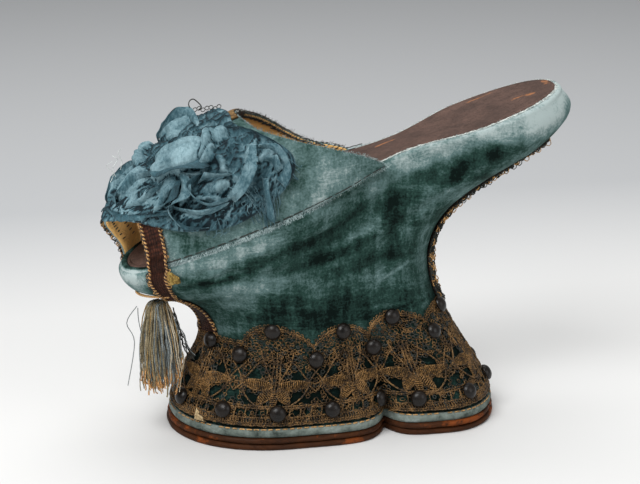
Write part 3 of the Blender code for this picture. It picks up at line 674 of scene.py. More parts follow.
class Recipe:
    """One procedural material, built up node by node."""

    def __init__(self, name, **constants):
        self.material = bpy.data.materials.new(name)
        self.material.use_nodes = True
        self.tree = self.material.node_tree
        self.shader = self.tree.nodes["Principled BSDF"]
        self.place = self.node("ShaderNodeTexCoord").outputs["Object"]
        for socket, value in constants.items():
            self.shader.inputs[socket.replace("_", " ")].default_value = value

    def node(self, kind, inputs=(), **settings):
        made = self.tree.nodes.new(kind)
        for key, value in settings.items():
            setattr(made, key, value)
        for socket, value in dict(inputs).items():
            self.feed(made.inputs[socket], value)
        return made

    def feed(self, socket, value):
        if isinstance(value, bpy.types.NodeSocket):
            self.tree.links.new(value, socket)
        else:
            socket.default_value = value

    def stretched(self, scale, turn=(0.0, 0.0, 0.0)):
        """Object coordinates turned and then stretched."""
        inputs = {"Vector": self.place, "Rotation": turn, "Scale": scale}
        return self.node("ShaderNodeMapping", inputs).outputs["Vector"]

    def noise(self, scale, detail=3.0, rough=0.5, distortion=0.0, at=None):
        inputs = {
            "Vector": at or self.place, "Scale": scale, "Detail": detail,
            "Roughness": rough, "Distortion": distortion,
        }
        return self.node("ShaderNodeTexNoise", inputs).outputs["Fac"]

    def cells(self, scale, at=None, randomness=1.0):
        inputs = {"Vector": at or self.place, "Scale": scale, "Randomness": randomness}
        return self.node("ShaderNodeTexVoronoi", inputs).outputs["Distance"]

    def maths(self, operation, a, b=0.5):
        return self.node("ShaderNodeMath", {0: a, 1: b}, operation=operation).outputs[0]

    def times(self, a, b):
        return self.maths("MULTIPLY", a, b)

    def plus(self, total, *others):
        for other in others:
            total = self.maths("ADD", total, other)
        return total

    def lines(self, value):
        """0 where a noise crosses its middle and more to either side, as thin lines."""
        return self.maths("ABSOLUTE", self.maths("SUBTRACT", value, 0.5))

    def spread(self, value, low, high, to_low=0.0, to_high=1.0):
        """Maps a range of values to another, held at its ends."""
        inputs = {"Value": value, 1: low, 2: high, 3: to_low, 4: to_high}
        return self.node("ShaderNodeMapRange", inputs).outputs[0]

    def mark(self):
        """The value that each point of a piece carries for how pale it is."""
        return self.node("ShaderNodeAttribute", attribute_name="nap").outputs["Fac"]

    def ramp(self, value, *stops):
        """Colours by value: each stop is a place and a colour."""
        made = self.node("ShaderNodeValToRGB", {"Fac": value})
        elements = made.color_ramp.elements
        elements[1].position = stops[-1][0]
        elements[0].position = stops[0][0]
        elements[1].color = (*stops[-1][1], 1.0)
        elements[0].color = (*stops[0][1], 1.0)
        for place, colour in stops[1:-1]:
            elements.new(place).color = (*colour, 1.0)
        return made.outputs["Color"]

    def mix(self, share, a, b):
        """Blends two colours."""
        made = self.node("ShaderNodeMix", data_type="RGBA")
        for index, value in ((0, share), (6, a), (7, b)):
            if isinstance(value, tuple) and len(value) == 3:
                value = (*value, 1.0)
            self.feed(made.inputs[index], value)
        return made.outputs[2]

    def bump(self, height, strength, distance, under=None):
        """A relief in metres, laid over another where one is given."""
        inputs = {"Height": height, "Strength": strength, "Distance": distance}
        if under is not None:
            inputs["Normal"] = under
        return self.node("ShaderNodeBump", inputs).outputs["Normal"]

    def give(self, **sockets):
        """Links values to the shader's sockets and returns the material."""
        for socket, value in sockets.items():
            self.feed(self.shader.inputs[socket.replace("_", " ")], value)
        return self.material


def velvet_finish(name, deep, mid, pale, worn):
    """Silk velvet whose pile is crushed pale in strokes and worn at the edges, its deep colour
    showing both the pile's own dark and the painted shade that its mark carries.
    """
    r = Recipe(
        name, Roughness=0.9, Specular_IOR_Level=0.1,
        Sheen_Weight=0.08, Sheen_Roughness=0.4, Sheen_Tint=(*pale, 1.0),
    )
    broad = r.noise(38.0, 4.0, 0.6, 0.9, r.stretched((0.55, 0.55, 1.7), (0.0, 0.45, 0.0)))
    strokes = r.noise(120.0, 3.0, 0.6, 0.4, r.stretched((1.6, 1.6, 0.4)))
    speckle = r.noise(900.0, 2.0, 0.7)
    laid = r.noise(46.0, 5.0, 0.62, 1.1, r.stretched((0.5, 0.5, 1.6), (0.0, 0.4, 0.0)))
    value = r.plus(
        0.4,
        r.mark(),
        r.spread(r.lines(laid), 0.0, 0.03, 0.11, -0.02),
        r.spread(broad, 0.3, 0.7, -0.26, 0.26),
        r.spread(strokes, 0.3, 0.7, -0.18, 0.18),
        r.spread(speckle, 0.3, 0.7, -0.15, 0.15),
    )
    colour = r.ramp(r.times(value, 0.8), (0.0, deep), (0.3, mid), (0.64, pale), (1.0, worn))
    pile = r.bump(r.noise(2600.0, 2.0), 0.35, 0.00035)
    pile = r.bump(broad, 0.4, 0.0012, pile)
    return r.give(Base_Color=colour, Normal=pile)


def toned(colour, by):
    """A colour made darker or lighter."""
    return tuple(by * c for c in colour)


def leather_finish(name, dark, light, scuff, scuffed, gloss, cracks=0.4, fine=160.0):
    """Old leather: mottled, cracked along its length, scuffed where the mark says."""
    r = Recipe(name, Coat_Weight=0.04, Coat_Roughness=0.4, Specular_IOR_Level=0.16)
    mottle = r.noise(70.0, 5.0, 0.6, 0.6)
    crack = r.noise(fine, 6.0, 0.7, 1.5, r.stretched((0.3, 1.6, 1.0)))
    crack = r.spread(r.lines(crack), 0.0, 0.03, 1.0, 0.0)
    colour = r.mix(r.spread(mottle, 0.3, 0.7), dark, light)
    colour = r.mix(r.times(crack, cracks), colour, toned(dark, 0.35))
    wear = r.plus(r.mark(), r.noise(220.0, 4.0, 0.7))
    colour = r.mix(r.spread(wear, scuffed, scuffed + 0.12), colour, scuff)
    grain = r.bump(r.cells(1400.0), 0.15, 0.0002)
    grain = r.bump(r.times(crack, -1.0), 0.5, 0.0004, grain)
    rough = r.spread(mottle, 0.3, 0.7, gloss, gloss + 0.2)
    return r.give(Base_Color=colour, Roughness=rough, Normal=grain)


def thread_finish(name, dark, light, metal, gloss, fibre=2200.0, spark=1.5):
    """Spun thread: fine light and dark flecks along it, the brightest of them painted glints."""
    r = Recipe(name, Metallic=metal)
    fleck = r.noise(fibre, 2.0, 0.6)
    value = r.plus(r.times(fleck, 0.7), r.times(r.noise(180.0, 3.0, 0.6), 0.4))
    glint = tuple(min(spark * c + 0.02, 1.0) for c in light)
    colour = r.ramp(value, (0.44, dark), (0.56, light), (0.7 - 0.03 * spark, glint))
    rough = r.spread(fleck, 0.3, 0.7, gloss, gloss + 0.25)
    return r.give(Base_Color=colour, Roughness=rough, Normal=r.bump(fleck, 0.8, 0.0003))


def silk_finish(name, deep, light, worn):
    """Thin crumpled silk: a fine weave, dusty in places, with painted shade along thin fold lines
    and, from its mark, painted highlights on the tops of its folds and painted shade in its
    creases.
    """
    r = Recipe(
        name, Roughness=0.7, Specular_IOR_Level=0.25,
        Sheen_Weight=0.22, Sheen_Roughness=0.4, Sheen_Tint=(*worn, 1.0),
    )
    folds = r.noise(150.0, 3.0, 0.5, 1.4, r.stretched((1.5, 1.0, 0.6), (0.3, 0.5, 0.0)))
    folds = r.lines(folds)
    crumples = r.lines(r.noise(420.0, 3.0, 0.55, 1.0))
    value = r.plus(
        r.times(r.noise(60.0, 4.0, 0.6, 0.5), 0.6),
        r.times(r.noise(700.0, 3.0, 0.6), 0.3),
        r.spread(folds, 0.0, 0.05, -0.07, 0.02),
        r.spread(crumples, 0.0, 0.04, -0.03, 0.01),
        r.mark(),
    )
    # deep shows the painted shade in the creases; worn shows both fading and the painted highlight
    # on the tops of the folds
    colour = r.ramp(value, (0.05, deep), (0.4, light), (0.74, worn))
    weave = r.bump(r.noise(2600.0, 1.0), 0.25, 0.0002)
    weave = r.bump(r.spread(crumples, 0.0, 0.12), 0.2, 0.0004, weave)
    weave = r.bump(r.spread(folds, 0.0, 0.16), 0.4, 0.0009, weave)
    return r.give(Base_Color=colour, Normal=weave)


def nail_finish(name, dark, light):
    """Domed nail heads, brown with age, mottled lighter and darker at random."""
    r = Recipe(name, Coat_Weight=0.14, Coat_Roughness=0.18, Specular_IOR_Level=0.25)
    tone = r.noise(260.0, 4.0, 0.65)
    colour = r.ramp(tone, (0.35, dark), (0.7, light))
    rough = r.spread(tone, 0.3, 0.7, 0.25, 0.5)
    return r.give(Base_Color=colour, Roughness=rough, Normal=r.bump(tone, 0.25, 0.0004))


def shade(red, green, blue):
    """A colour as it is seen, 0 to 255, turned into the light that Blender mixes."""
    seen = (c / 255 for c in (red, green, blue))
    return tuple(c / 12.92 if c <= 0.04045 else ((c + 0.055) / 1.055) ** 2.4 for c in seen)


def colour_setting(name, description, colour):
    return FloatVectorProperty(
        name=name, description=description, default=colour, subtype="COLOR",
        size=3, min=0.0, max=1.0,
    )


class VelvetLook(bpy.types.PropertyGroup):
    """Colours and creases of the velvet."""

    # the deep colour also shows where shade is painted: in the creases and hollows, under the
    # vamp's foot and under the lace
    deep: colour_setting("Deep pile", "Velvet that faces away", shade(4, 18, 15))
    mid: colour_setting("Pile", "Velvet as most of it shows", shade(38, 64, 58))
    pale: colour_setting("Crushed pile", "Velvet laid flat", shade(92, 117, 116))
    worn: colour_setting("Worn pile", "Velvet rubbed to its ground", shade(164, 178, 177))
    crease: FloatProperty(
        name="Crease depth", description="How deep the creases go, 1 as on the old shoe",
        default=1.0, min=0.0, max=2.0,
    )


class LeatherLook(bpy.types.PropertyGroup):
    """Colours of the sole, the footbed and the lining."""

    sole: colour_setting("Sole", "Face of the outsole", shade(74, 40, 16))
    edge: colour_setting("Sole edge", "Russet cut edge of the outsole", shade(124, 62, 22))
    insole: colour_setting("Footbed", "Grain side of the footbed", shade(105, 82, 73))
    scuff: colour_setting("Scuff", "Leather rubbed orange", shade(158, 106, 70))
    # the lining is set far paler than the tan leather, as painted light that stands in for the
    # light inside the vamp
    lining: colour_setting("Lining", "Tan lining of the vamp", shade(248, 196, 122))


class TrimLook(bpy.types.PropertyGroup):
    """Colours and sizes of the tapes, the lace and the nails."""

    tape: colour_setting("Tape", "Dark ribbed tape", shade(56, 28, 17))
    gold: colour_setting("Gold thread", "Bright gilt thread", shade(196, 152, 96))
    tarnished: colour_setting("Old gilt", "Tarnished gilt thread of the lace", shade(80, 57, 25))
    nail: colour_setting("Nail", "Domed nail head", shade(20, 14, 9))
    cord: FloatProperty(
        name="Edge cord", description="Radius of one strand of the gold edge cords",
        default=0.00042, min=0.0001, max=0.001, unit="LENGTH",
    )
    mesh_step: FloatProperty(
        name="Lace mesh", description="Distance between the threads of the lace's mesh",
        default=0.0019, min=0.0015, max=0.005, unit="LENGTH",
    )


class SilkLook(bpy.types.PropertyGroup):
    """Colours of the silk rosette."""

    # the deep silk is painted shade inside the folds, and the faded silk is both fading and
    # painted highlight on their tops
    deep: colour_setting("Deep silk", "Silk inside its folds", shade(3, 26, 34))
    light: colour_setting("Silk", "Silk as most of it shows", shade(60, 94, 104))
    worn: colour_setting("Faded silk", "Silk on the tops of its folds", shade(144, 174, 182))


class TasselLook(bpy.types.PropertyGroup):
    """Colours and count of the tassel's threads."""

    gold: colour_setting("Gold threads", "Gilt threads", shade(170, 140, 88))
    cream: colour_setting("Cream threads", "Pale silk threads", shade(186, 174, 150))
    grey: colour_setting("Grey threads", "Blue-grey silk threads", shade(122, 130, 130))
    threads: IntProperty(
        name="Threads", description="How many threads hang from the tassel's head",
        default=330, min=40, max=900,
    )


class StageLook(bpy.types.PropertyGroup):
    """The floor, the backdrop and the lamps."""

    floor: colour_setting("Floor", "Plain pale floor", shade(224, 224, 223))
    # the far floor's darker colour is a painted fall-off of the lamps' light
    backdrop: colour_setting("Far floor", "The floor further back", shade(186, 188, 190))
    key: FloatProperty(
        name="Key lamp", description="Power of the large soft lamp", default=16.0,
        min=0.0, max=200.0, unit="POWER",
    )
    distance: FloatProperty(
        name="Camera distance", description="From the camera to the middle of the shoe",
        default=0.85, min=0.3, max=3.0, unit="LENGTH",
    )


def settings():
    return bpy.context.scene.chopine


def green_velvet():
    """The velvet that the platform and the vamp share."""
    look = settings().velvet
    name = "crushed_velvet"
    colours = (tuple(tone) for tone in (look.deep, look.mid, look.pale, look.worn))
    return bpy.data.materials.get(name) or velvet_finish(name, *colours)


# Threads in colours of their own. Columns: dark and light as seen, metal, gloss.
PLAIN_THREADS = {
    "pale_fibre": ((96, 120, 122), (150, 168, 168), 0.0, 0.8),
    "worn_fibre": ((150, 160, 156), (204, 210, 206), 0.0, 0.9),
    "black_thread": ((12, 14, 12), (46, 48, 42), 0.0, 0.7),
    "mustard_scrap": ((110, 86, 34), (158, 132, 66), 0.0, 0.8),
    "cream_scrap": ((110, 92, 64), (172, 150, 112), 0.0, 0.8),
    "tassel_olive": ((66, 60, 44), (128, 116, 88), 0.0, 0.6),
    "tassel_ends": ((130, 84, 40), (196, 148, 92), 0.1, 0.5),
}
# Threads in a colour of the settings. Columns: group and colour, how far the dark and the
# light of it are toned, metal, gloss, then the size of its flecks and how bright their painted
# glints are.
DYED_THREADS = {
    "gilt_thread": ("trim", "gold", 0.35, 1.0, 0.35, 0.4),
    "old_gilt": ("trim", "tarnished", 0.1, 1.0, 0.3, 0.4, 1800.0, 3.0),
    "leaf_gilt": ("trim", "tarnished", 0.14, 1.4, 0.4, 0.36, 1500.0, 2.6),
    "dark_thread": ("trim", "tape", 0.3, 1.0, 0.0, 0.6),
    "tassel_gold": ("tassel", "gold", 0.4, 1.0, 0.2, 0.45),
    "tassel_cream": ("tassel", "cream", 0.6, 1.0, 0.0, 0.6),
    "tassel_grey": ("tassel", "grey", 0.5, 1.0, 0.0, 0.6),
}


def thread(name):
    """A thread's finish, made once and shared by the pieces."""
    known = bpy.data.materials.get(name)
    if known:
        return known
    if name in PLAIN_THREADS:
        dark, light, *rest = PLAIN_THREADS[name]
        return thread_finish(name, shade(*dark), shade(*light), *rest)
    group, setting, dark, light, *rest = DYED_THREADS[name]
    colour = getattr(getattr(settings(), group), setting)
    return thread_finish(name, toned(colour, dark), toned(colour, light), *rest)


def threads(*names):
    return [thread(name) for name in names]


def woven_tape(name, dark, light, across, along):
    """Ribbed tape: the weft shows as fine ribs, counted over its own UV map."""
    r = Recipe(name, Roughness=0.7, Specular_IOR_Level=0.15)
    uv = r.node("ShaderNodeUVMap", uv_map="UVMap").outputs["UV"]
    laid = r.node("ShaderNodeMapping", {"Vector": uv, "Scale": (across, along, 1.0)}).outputs[0]
    check = r.cells(1.0, laid, 0.25)
    value = r.plus(r.times(r.noise(420.0, 4.0, 0.7), 0.9), r.times(check, -0.6))
    colour = r.ramp(value, (0.0, dark), (0.28, light), (0.5, toned(light, 2.2)))
    return r.give(Base_Color=colour, Normal=r.bump(r.times(check, -1.0), 1.0, 0.0008))


def round_stations(shares):
    """Share and side for each column of a ring: near side to the heel, far side back."""
    back = list(shares[1:-1])[::-1]
    return [(share, -1) for share in shares] + [(share, 1) for share in back]


def ring_points(row, stations):
    return np.array([platform_point(row, share, side) for share, side in stations])


def with_caps(rings, below=5, above=9):
    """Stacks rings and closes them on the middle line below and above."""
    def closing(ring, steps):
        return [ring * (1.0, 1.0 - k / steps, 1.0) for k in range(1, steps + 1)]

    return np.stack(closing(rings[0], below)[::-1] + rings + closing(rings[-1], above), axis=1)


def ramped(values, start, end):
    """0 up to the start and 1 past the end, for a grid of values."""
    return np.clip((values - start) / (end - start), 0.0, 1.0)


# The velvet rolls over the footbed's edge. Columns: inset from the outline, rise.
RIM_ROLL = (
    (0, 0), (0.12, 0.6), (0.45, 1.2), (1, 1.65),
    (1.8, 1.8), (2.5, 1.6), (3.1, 1.1), (3.5, 0.2),
)
CAP_BELOW = 3
CAP_ABOVE = 6


class CHOPINE_OT_platform(bpy.types.Operator):
    """Covers the carved platform in crushed green velvet"""

    bl_idname = "chopine.platform"
    bl_label = "Velvet platform"

    def execute(self, context):
        look = context.scene.chopine.velvet
        skin = PLATFORM.points
        relief = crease_relief(skin) * look.crease
        relief += 0.16 * soft_noise(skin, 9.0, 3.0) + 0.06 * soft_noise(skin, 3.0, 8.0)
        fade = np.clip(np.linspace(0.0, 1.0, SKIN_ROWS) * 40, 0.0, 1.0)
        walls = skin + PLATFORM.normals * (relief * fade)[..., None]
        stations = [round_share(u) for u in np.arange(SKIN_COLUMNS) / SKIN_COLUMNS]
        rings = [walls[:, k] for k in range(SKIN_ROWS)]
        for inset, rise in RIM_ROLL[1:]:
            ring = ring_points(grown(LEVELS[TOP], -inset), stations)
            ring[:, 2] += rise
            rings.append(ring)
        points = with_caps(rings, CAP_BELOW, CAP_ABOVE)
        bm = cloth(points, nap=self.lay_nap_and_shade(points))
        add_piece("platform_velvet", bm, green_velvet(), ["platform"])
        return {"FINISHED"}

    def lay_nap_and_shade(self, points):
        """Pale in patches, on the worn rim and at the toe's tip; painted shade in creases and
        hollows, on the rim under the vamp's foot and under the lace.
        """
        nap = nap_and_shade_marks(points)
        nap = np.where(nap < 0.0, 0.62 * nap, 0.74 * nap) + 0.24 * soft_noise(points, 14.0, 5.0)
        rim = CAP_BELOW + SKIN_ROWS
        along = points[:, rim, 0]
        under_vamp = 1.0 - ramped(along, 20.0, 32.0)
        heel = ramped(along, 55.0, 110.0)
        pale = 0.22 + 0.5 * np.clip(soft_noise(points[:, rim], 9.0, 7.0) + 0.3, 0.0, 1.0)
        for row in range(rim - 7, rim + 9):
            nap[:, row] += pale * bell(row - rim + 3, 2.6) * under_vamp
            # painted shade on the rim's rows under the vamp's foot
            if row > rim:
                nap[:, row] -= 0.6 * under_vamp
        for row in range(CAP_BELOW, points.shape[1]):
            below = max(rim - row, 0) * TOP / SKIN_ROWS
            worn = (0.66 + 0.1 * heel) * (1.0 - under_vamp)
            nap[:, row] += worn * np.exp(-((below / (1.1 + 0.7 * heel)) ** 2))
        toe_tip = ramped(points[..., 0], -84.0, -92.0) * ramped(points[..., 2], 66.0, 72.0)
        nap += 0.65 * toe_tip * (1.0 + 0.6 * soft_noise(points, 5.0, 11.0))
        # painted shade under the lace, darker below a height of 50 mm
        return nap - 0.42 * ramped(points[..., 2], 50.0, 40.0)


VAMP_LOOP = 96
VELVET_THICK = 0.9


def vamp_station(across, share):
    """Station on the vamp at a share of the way from its toe edge to its throat."""
    return blend(value_at(TOE_EDGE, across), value_at(THROAT_EDGE, across), share)


def vamp_shell(outer, inner, inset=0.0):
    """Closed sections of a thin shell of the vamp between two lifts."""
    shares = np.linspace(0.0, 1.0, VAMP_LOOP)
    mid = (outer + inner) / 2
    loop = [(share, outer) for share in shares] + [(1.0, mid)]
    loop += [(share, inner) for share in shares[::-1]] + [(0.0, mid)]
    return np.array([
        [
            on_vamp(vamp_station(across, share) + inset * (1 - 2 * share), across, lift)
            for across in np.linspace(-1.0, 1.0, 120)
        ]
        for share, lift in loop
    ])


class CHOPINE_OT_vamp(bpy.types.Operator):
    """Makes the open vamp: a velvet outside over a tan lining"""

    bl_idname = "chopine.vamp"
    bl_label = "Velvet vamp"

    def execute(self, context):
        outside = vamp_shell(0.0, -VELVET_THICK)
        nap = 0.25 + 0.3 * soft_noise(outside, 12.0, 6.0)
        nap += 0.55 * ramped(outside[..., 0], -70.0, -90.0)
        add_tube("vamp_velvet", outside, green_velvet(), "green_velvet", ["upper"], nap=nap)
        inside = vamp_shell(-VELVET_THICK - 0.02, -VAMP_WALL, 0.3)
        # the lining's colour is painted pale, with its dark kept close to it, as painted light
        # inside the vamp
        tone = tuple(context.scene.chopine.leather.lining)
        worn = shade(236, 206, 160)
        tan = leather_finish("tan_lining", toned(tone, 0.8), tone, worn, 0.75, 0.7)
        add_tube("vamp_lining", inside, tan, "insole_leather", nap=0.0 * inside[..., 0])
        return {"FINISHED"}


# Where the footbed is rubbed orange: centre along and across, reach along and across.
SCUFFS = (
    (96, -4, 7, 2.2),
    (102, -7, 4, 1.8),
    (31, 7, 12, 1.2),
    (112, 3, 2.5, 9),
    (84, 19, 14, 1.2),
    (-20, 22, 16, 2.5),
    (-62, -14, 10, 4),
)
# Sections through the edges of the leather and the band. Columns: out or in, and up.
LIFT_EDGE = ((-1.0, 0.0), (0.0, 0.25), (0.5, 1.35), (0.1, 2.4), (-0.8, 2.7))
BAND_EDGE = ((-0.6, 0.0), (0.2, 0.05), (0.8, 0.3), (0.8, 0.6), (0.5, 0.9), (-0.6, 1.0))
FOOTBED_EDGE = ((0.6, 0.0), (0.0, 0.2), (0.0, 1.2), (0.15, 1.55), (0.6, 1.8), (1.5, 1.85))
SOLE_COLUMNS = 130
BAND_STITCHES = 66


class CHOPINE_OT_soles(bpy.types.Operator):
    """Lays the split outsole, the base band and the worn footbed"""

    bl_idname = "chopine.soles"
    bl_label = "Outsole, band and footbed"

    def execute(self, context):
        look = context.scene.chopine.leather
        stations = round_stations(even_shares(OUTSOLE_LEVEL, SOLE_COLUMNS))
        sole = leather_finish(
            "split_leather", toned(look.sole, 0.45), tuple(look.sole), tuple(look.edge), 0.66, 0.6)
        self.lay_lift("outsole_lower", 0.0, 0.003, stations, sole)
        self.lay_lift("outsole_upper", OUTSOLE_LAYER + GAP, 0.008, stations, sole)
        self.lay_band(context.scene.chopine.velvet, stations)
        self.lay_footbed(look)
        return {"FINISHED"}

    def lay_lift(self, name, low, ragged, stations, sole):
        """One leather lift. The upper one has sprung up a little at the rear near side."""
        upper = low > 0.0
        rings = []
        for out, rise in LIFT_EDGE:
            ring = ring_points(at_height(grown(OUTSOLE_LEVEL, out), low + rise), stations)
            ring[:, :2] *= 1 + ragged * soft_noise(ring, 8.0, low)[:, None]
            if upper:
                ring[:, :2] *= 0.992
                sprung = np.exp(-(((ring[:, 0] - 56.0) / 20.0) ** 2)) * (ring[:, 1] < 0.0)
                ring[:, 2] += 0.35 * sprung * (rise > 1.0)
                ring[:, 1] -= 0.9 * sprung * (rise > 1.0)
            rings.append(ring)
        points = with_caps(rings)
        wear = 0.3 * soft_noise(points, 14.0, 2.0 + low) + 0.04
        wear += 0.22 * ramped(points[..., 0], 30.0, 50.0) * (1.0 if upper else 0.4)
        add_piece(f"{name}_leather", cloth(points, nap=wear), sole, [name])

    def lay_band(self, look, stations):
        """The rubbed velvet band, and its dashed line of gold thread."""
        rings = []
        for out, share in BAND_EDGE:
            z = BAND_LOW + share * (BAND_HIGH - BAND_LOW)
            rings.append(ring_points(at_height(grown(LEVELS[0], 0.4 + out), z), stations))
        points = with_caps(rings)
        nap = 0.15 + 0.5 * soft_noise(points, 11.0, 4.0) + 0.45 * soft_noise(points, 3.0, 4.0)
        rubbed = velvet_finish(
            "rubbed_velvet", shade(52, 60, 56), shade(98, 108, 102), shade(126, 136, 130),
            tuple(look.worn))
        add_piece(
            "base_band_velvet", cloth(points, nap=nap), rubbed, ["base_band"])
        finishes = threads("gilt_thread", "dark_thread")
        add_cords("band_stitches", self.stitches(), finishes)

    def lay_footbed(self, look):
        """The brown footbed, rubbed orange where the foot and the years have worn it."""
        stations = round_stations(even_shares(LEVELS[TOP], SOLE_COLUMNS))
        rings = []
        for inset, rise in FOOTBED_EDGE:
            ring = ring_points(grown(LEVELS[TOP], -INSOLE_INSET - inset), stations)
            ring[:, 2] += GAP + rise
            rings.append(ring)
        points = with_caps(rings, 4, 26)
        points[:, 10:, 2] += (0.12 * soft_noise(points, 14.0, 2.0) - 0.1)[:, 10:]
        wear = 0.14 * soft_noise(points, 10.0, 6.0) - 0.12
        for x, y, along, aside in SCUFFS:
            off = ((points[..., 0] - x) / along) ** 2 + ((points[..., 1] - y) / aside) ** 2
            wear += 0.42 * np.exp(-off)
        brown = leather_finish(
            "footbed_leather", toned(look.insole, 0.5), tuple(look.insole), tuple(look.scuff),
            0.7, 0.6, 0.75, 380.0)
        add_piece("insole_footbed", cloth(points, nap=wear), brown, ["insole"])

    def stitches(self):
        """A dashed line of gold thread on the shoulder of the base band."""
        rng = random.Random(3)
        runs = []
        shares = even_shares(LEVELS[0], BAND_STITCHES)
        row = at_height(grown(LEVELS[0], 0.75), BAND_HIGH - 0.15)
        for side in (-1, 1):
            for k in range(BAND_STITCHES):
                if rng.random() < 0.12:
                    continue
                path = []
                for step in np.linspace(k + 0.12, k + rng.uniform(0.7, 0.86), 4):
                    share = float(np.interp(step, range(BAND_STITCHES + 1), shares))
                    rise = Vector((0, 0, 0.25 * math.sin(math.pi * (step - k))))
                    path.append(platform_point(row, share, side) + rise)
                runs.append(Run(path, 0.33))
        return runs


def strip_points(place, along, across, crown=0.0):
    """Closed sections of a tape laid on a surface by place(along, across, lift)."""
    shares = np.linspace(0.0, 1.0, across)
    section = [(s, TAPE_FACE + crown * math.sin(math.pi * s)) for s in shares]
    section += [(s, GAP) for s in shares[::-1]]
    return np.array([
        [place(a, s, lift) for a in np.linspace(0.0, 1.0, along)] for s, lift in section
    ])


def edge_cords(place, edges, lift, radius, steps=90, first=0):
    """Two-strand gold cords along lines on a surface, one for each place across it."""
    runs = []
    for across in edges:
        def up(share):
            return (place(share, across, lift + 1.0) - place(share, across, lift)).normalized()

        path = [place(a, across, lift) for a in np.linspace(0.0, 1.0, steps)]
        runs += spun_cord(path, CORD_PITCH / 6, up, radius, (first, first + 1))
    return runs


def front_tape_place(side):
    """Places on a keel tape: along from the keel up to the rim, across, lift."""
    inner = 1 if side < 0 else 3
    low, high = FRONT_TAPES[0][0], FRONT_TAPES[-1][0]

    def place(along, across, lift):
        level = blend(low, high, along)
        near = value_at(FRONT_TAPES, level, inner)
        far = value_at(FRONT_TAPES, level, inner + 1)
        y = blend(near, far, across)
        row = level_at(level)
        return on_platform(level, share_at(row, y), side, lift)

    return place


def back_braid_place(along, across, lift):
    level = blend(*BACK_BRAID_LEVELS, along)
    y = blend(-BACK_BRAID_HALF, BACK_BRAID_HALF, across)
    share = share_at(level_at(level), y, heel_end=True)
    return on_platform(level, share, -1 if y < 0 else 1, lift)


def toe_binding_place(along, across, lift):
    """Along the toe edge from the near side to the far; across from the edge back."""
    around = blend(-0.97, 0.97, along)
    return on_vamp(value_at(TOE_EDGE, around) + 0.4 + 7.6 * across, around, lift)


def throat_braid_place(along, across, lift):
    around = blend(-1 / 12, 11 / 12, along)
    return on_vamp(value_at(THROAT_EDGE, around) - 0.4 - 3.6 * across, around, lift)


def picots(place, rows, rng):
    """Small loops of thread along lines on a surface, one line for each row of a table."""
    runs = []
    for across, lean, rise, count, reach, radius, finishes, *span in rows:
        for k in range(count):
            a = blend(*(span or (0.0, 1.0)), (k + rng.uniform(0.35, 0.65)) / count)
            here = place(a, across, 0.9)
            up = (place(a, across, 1.9) - here).normalized()
            ahead = (place(a + 0.004, across, 0.9) - here).normalized()
            out = (place(a, across + 0.02, 0.9) - place(a, across - 0.02, 0.9)).normalized()
            stand = (out * lean + up * rise).normalized()
            size = reach * rng.uniform(0.75, 1.25)
            turn = rng.uniform(-0.4, 0.4)
            ahead = (ahead + stand.cross(ahead) * turn).normalized()
            loop = ring_of(here + stand * 0.8 * size, ahead, stand, size, 7, 1.15)
            runs.append(Run(loop, radius * rng.uniform(0.85, 1.2), rng.choice(finishes), True))
    return runs


def edge_stitches(rng):
    """Dark overcasting that wraps the vamp's open throat, with its loose fibres."""
    runs = []
    for k in range(THROAT_STITCHES):
        around = blend(-0.98, 0.98, (k + rng.uniform(-0.3, 0.3)) / THROAT_STITCHES)
        around = clamp(around, -0.99, 0.99)
        edge = value_at(THROAT_EDGE, around)
        slant = rng.uniform(0.006, 0.02)
        deep = rng.uniform(1.2, 2.2)
        path = [
            on_vamp(edge - deep, around - slant, 0.35),
            on_vamp(edge - 0.3, around - 0.4 * slant, 0.7),
            on_vamp(edge + 0.7, around, -0.7),
            on_vamp(edge - 0.1, around + 0.5 * slant, -2.1),
            on_vamp(edge - deep, around + slant, -2.1),
        ]
        worn = around < rng.uniform(-0.1, 0.12)
        if not worn and k % 2:
            runs.append(Run(smooth_path(path, 2), rng.uniform(0.16, 0.26), rng.choice((0, 0, 1))))
        for _ in range(3):
            start = on_vamp(edge + 0.2, around + rng.uniform(-0.01, 0.01), -0.4)
            reach = rng.uniform(0.2, 0.6) if worn else rng.uniform(0.4, 1.2)
            tip = on_vamp(edge + reach, around + rng.uniform(-0.02, 0.02), rng.uniform(-0.6, 0.9))
            tone = 2 if worn else rng.choice((0, 0, 1, 3))
            runs.append(Run([start, start.lerp(tip, 0.5), tip], 0.09, tone))
    return runs


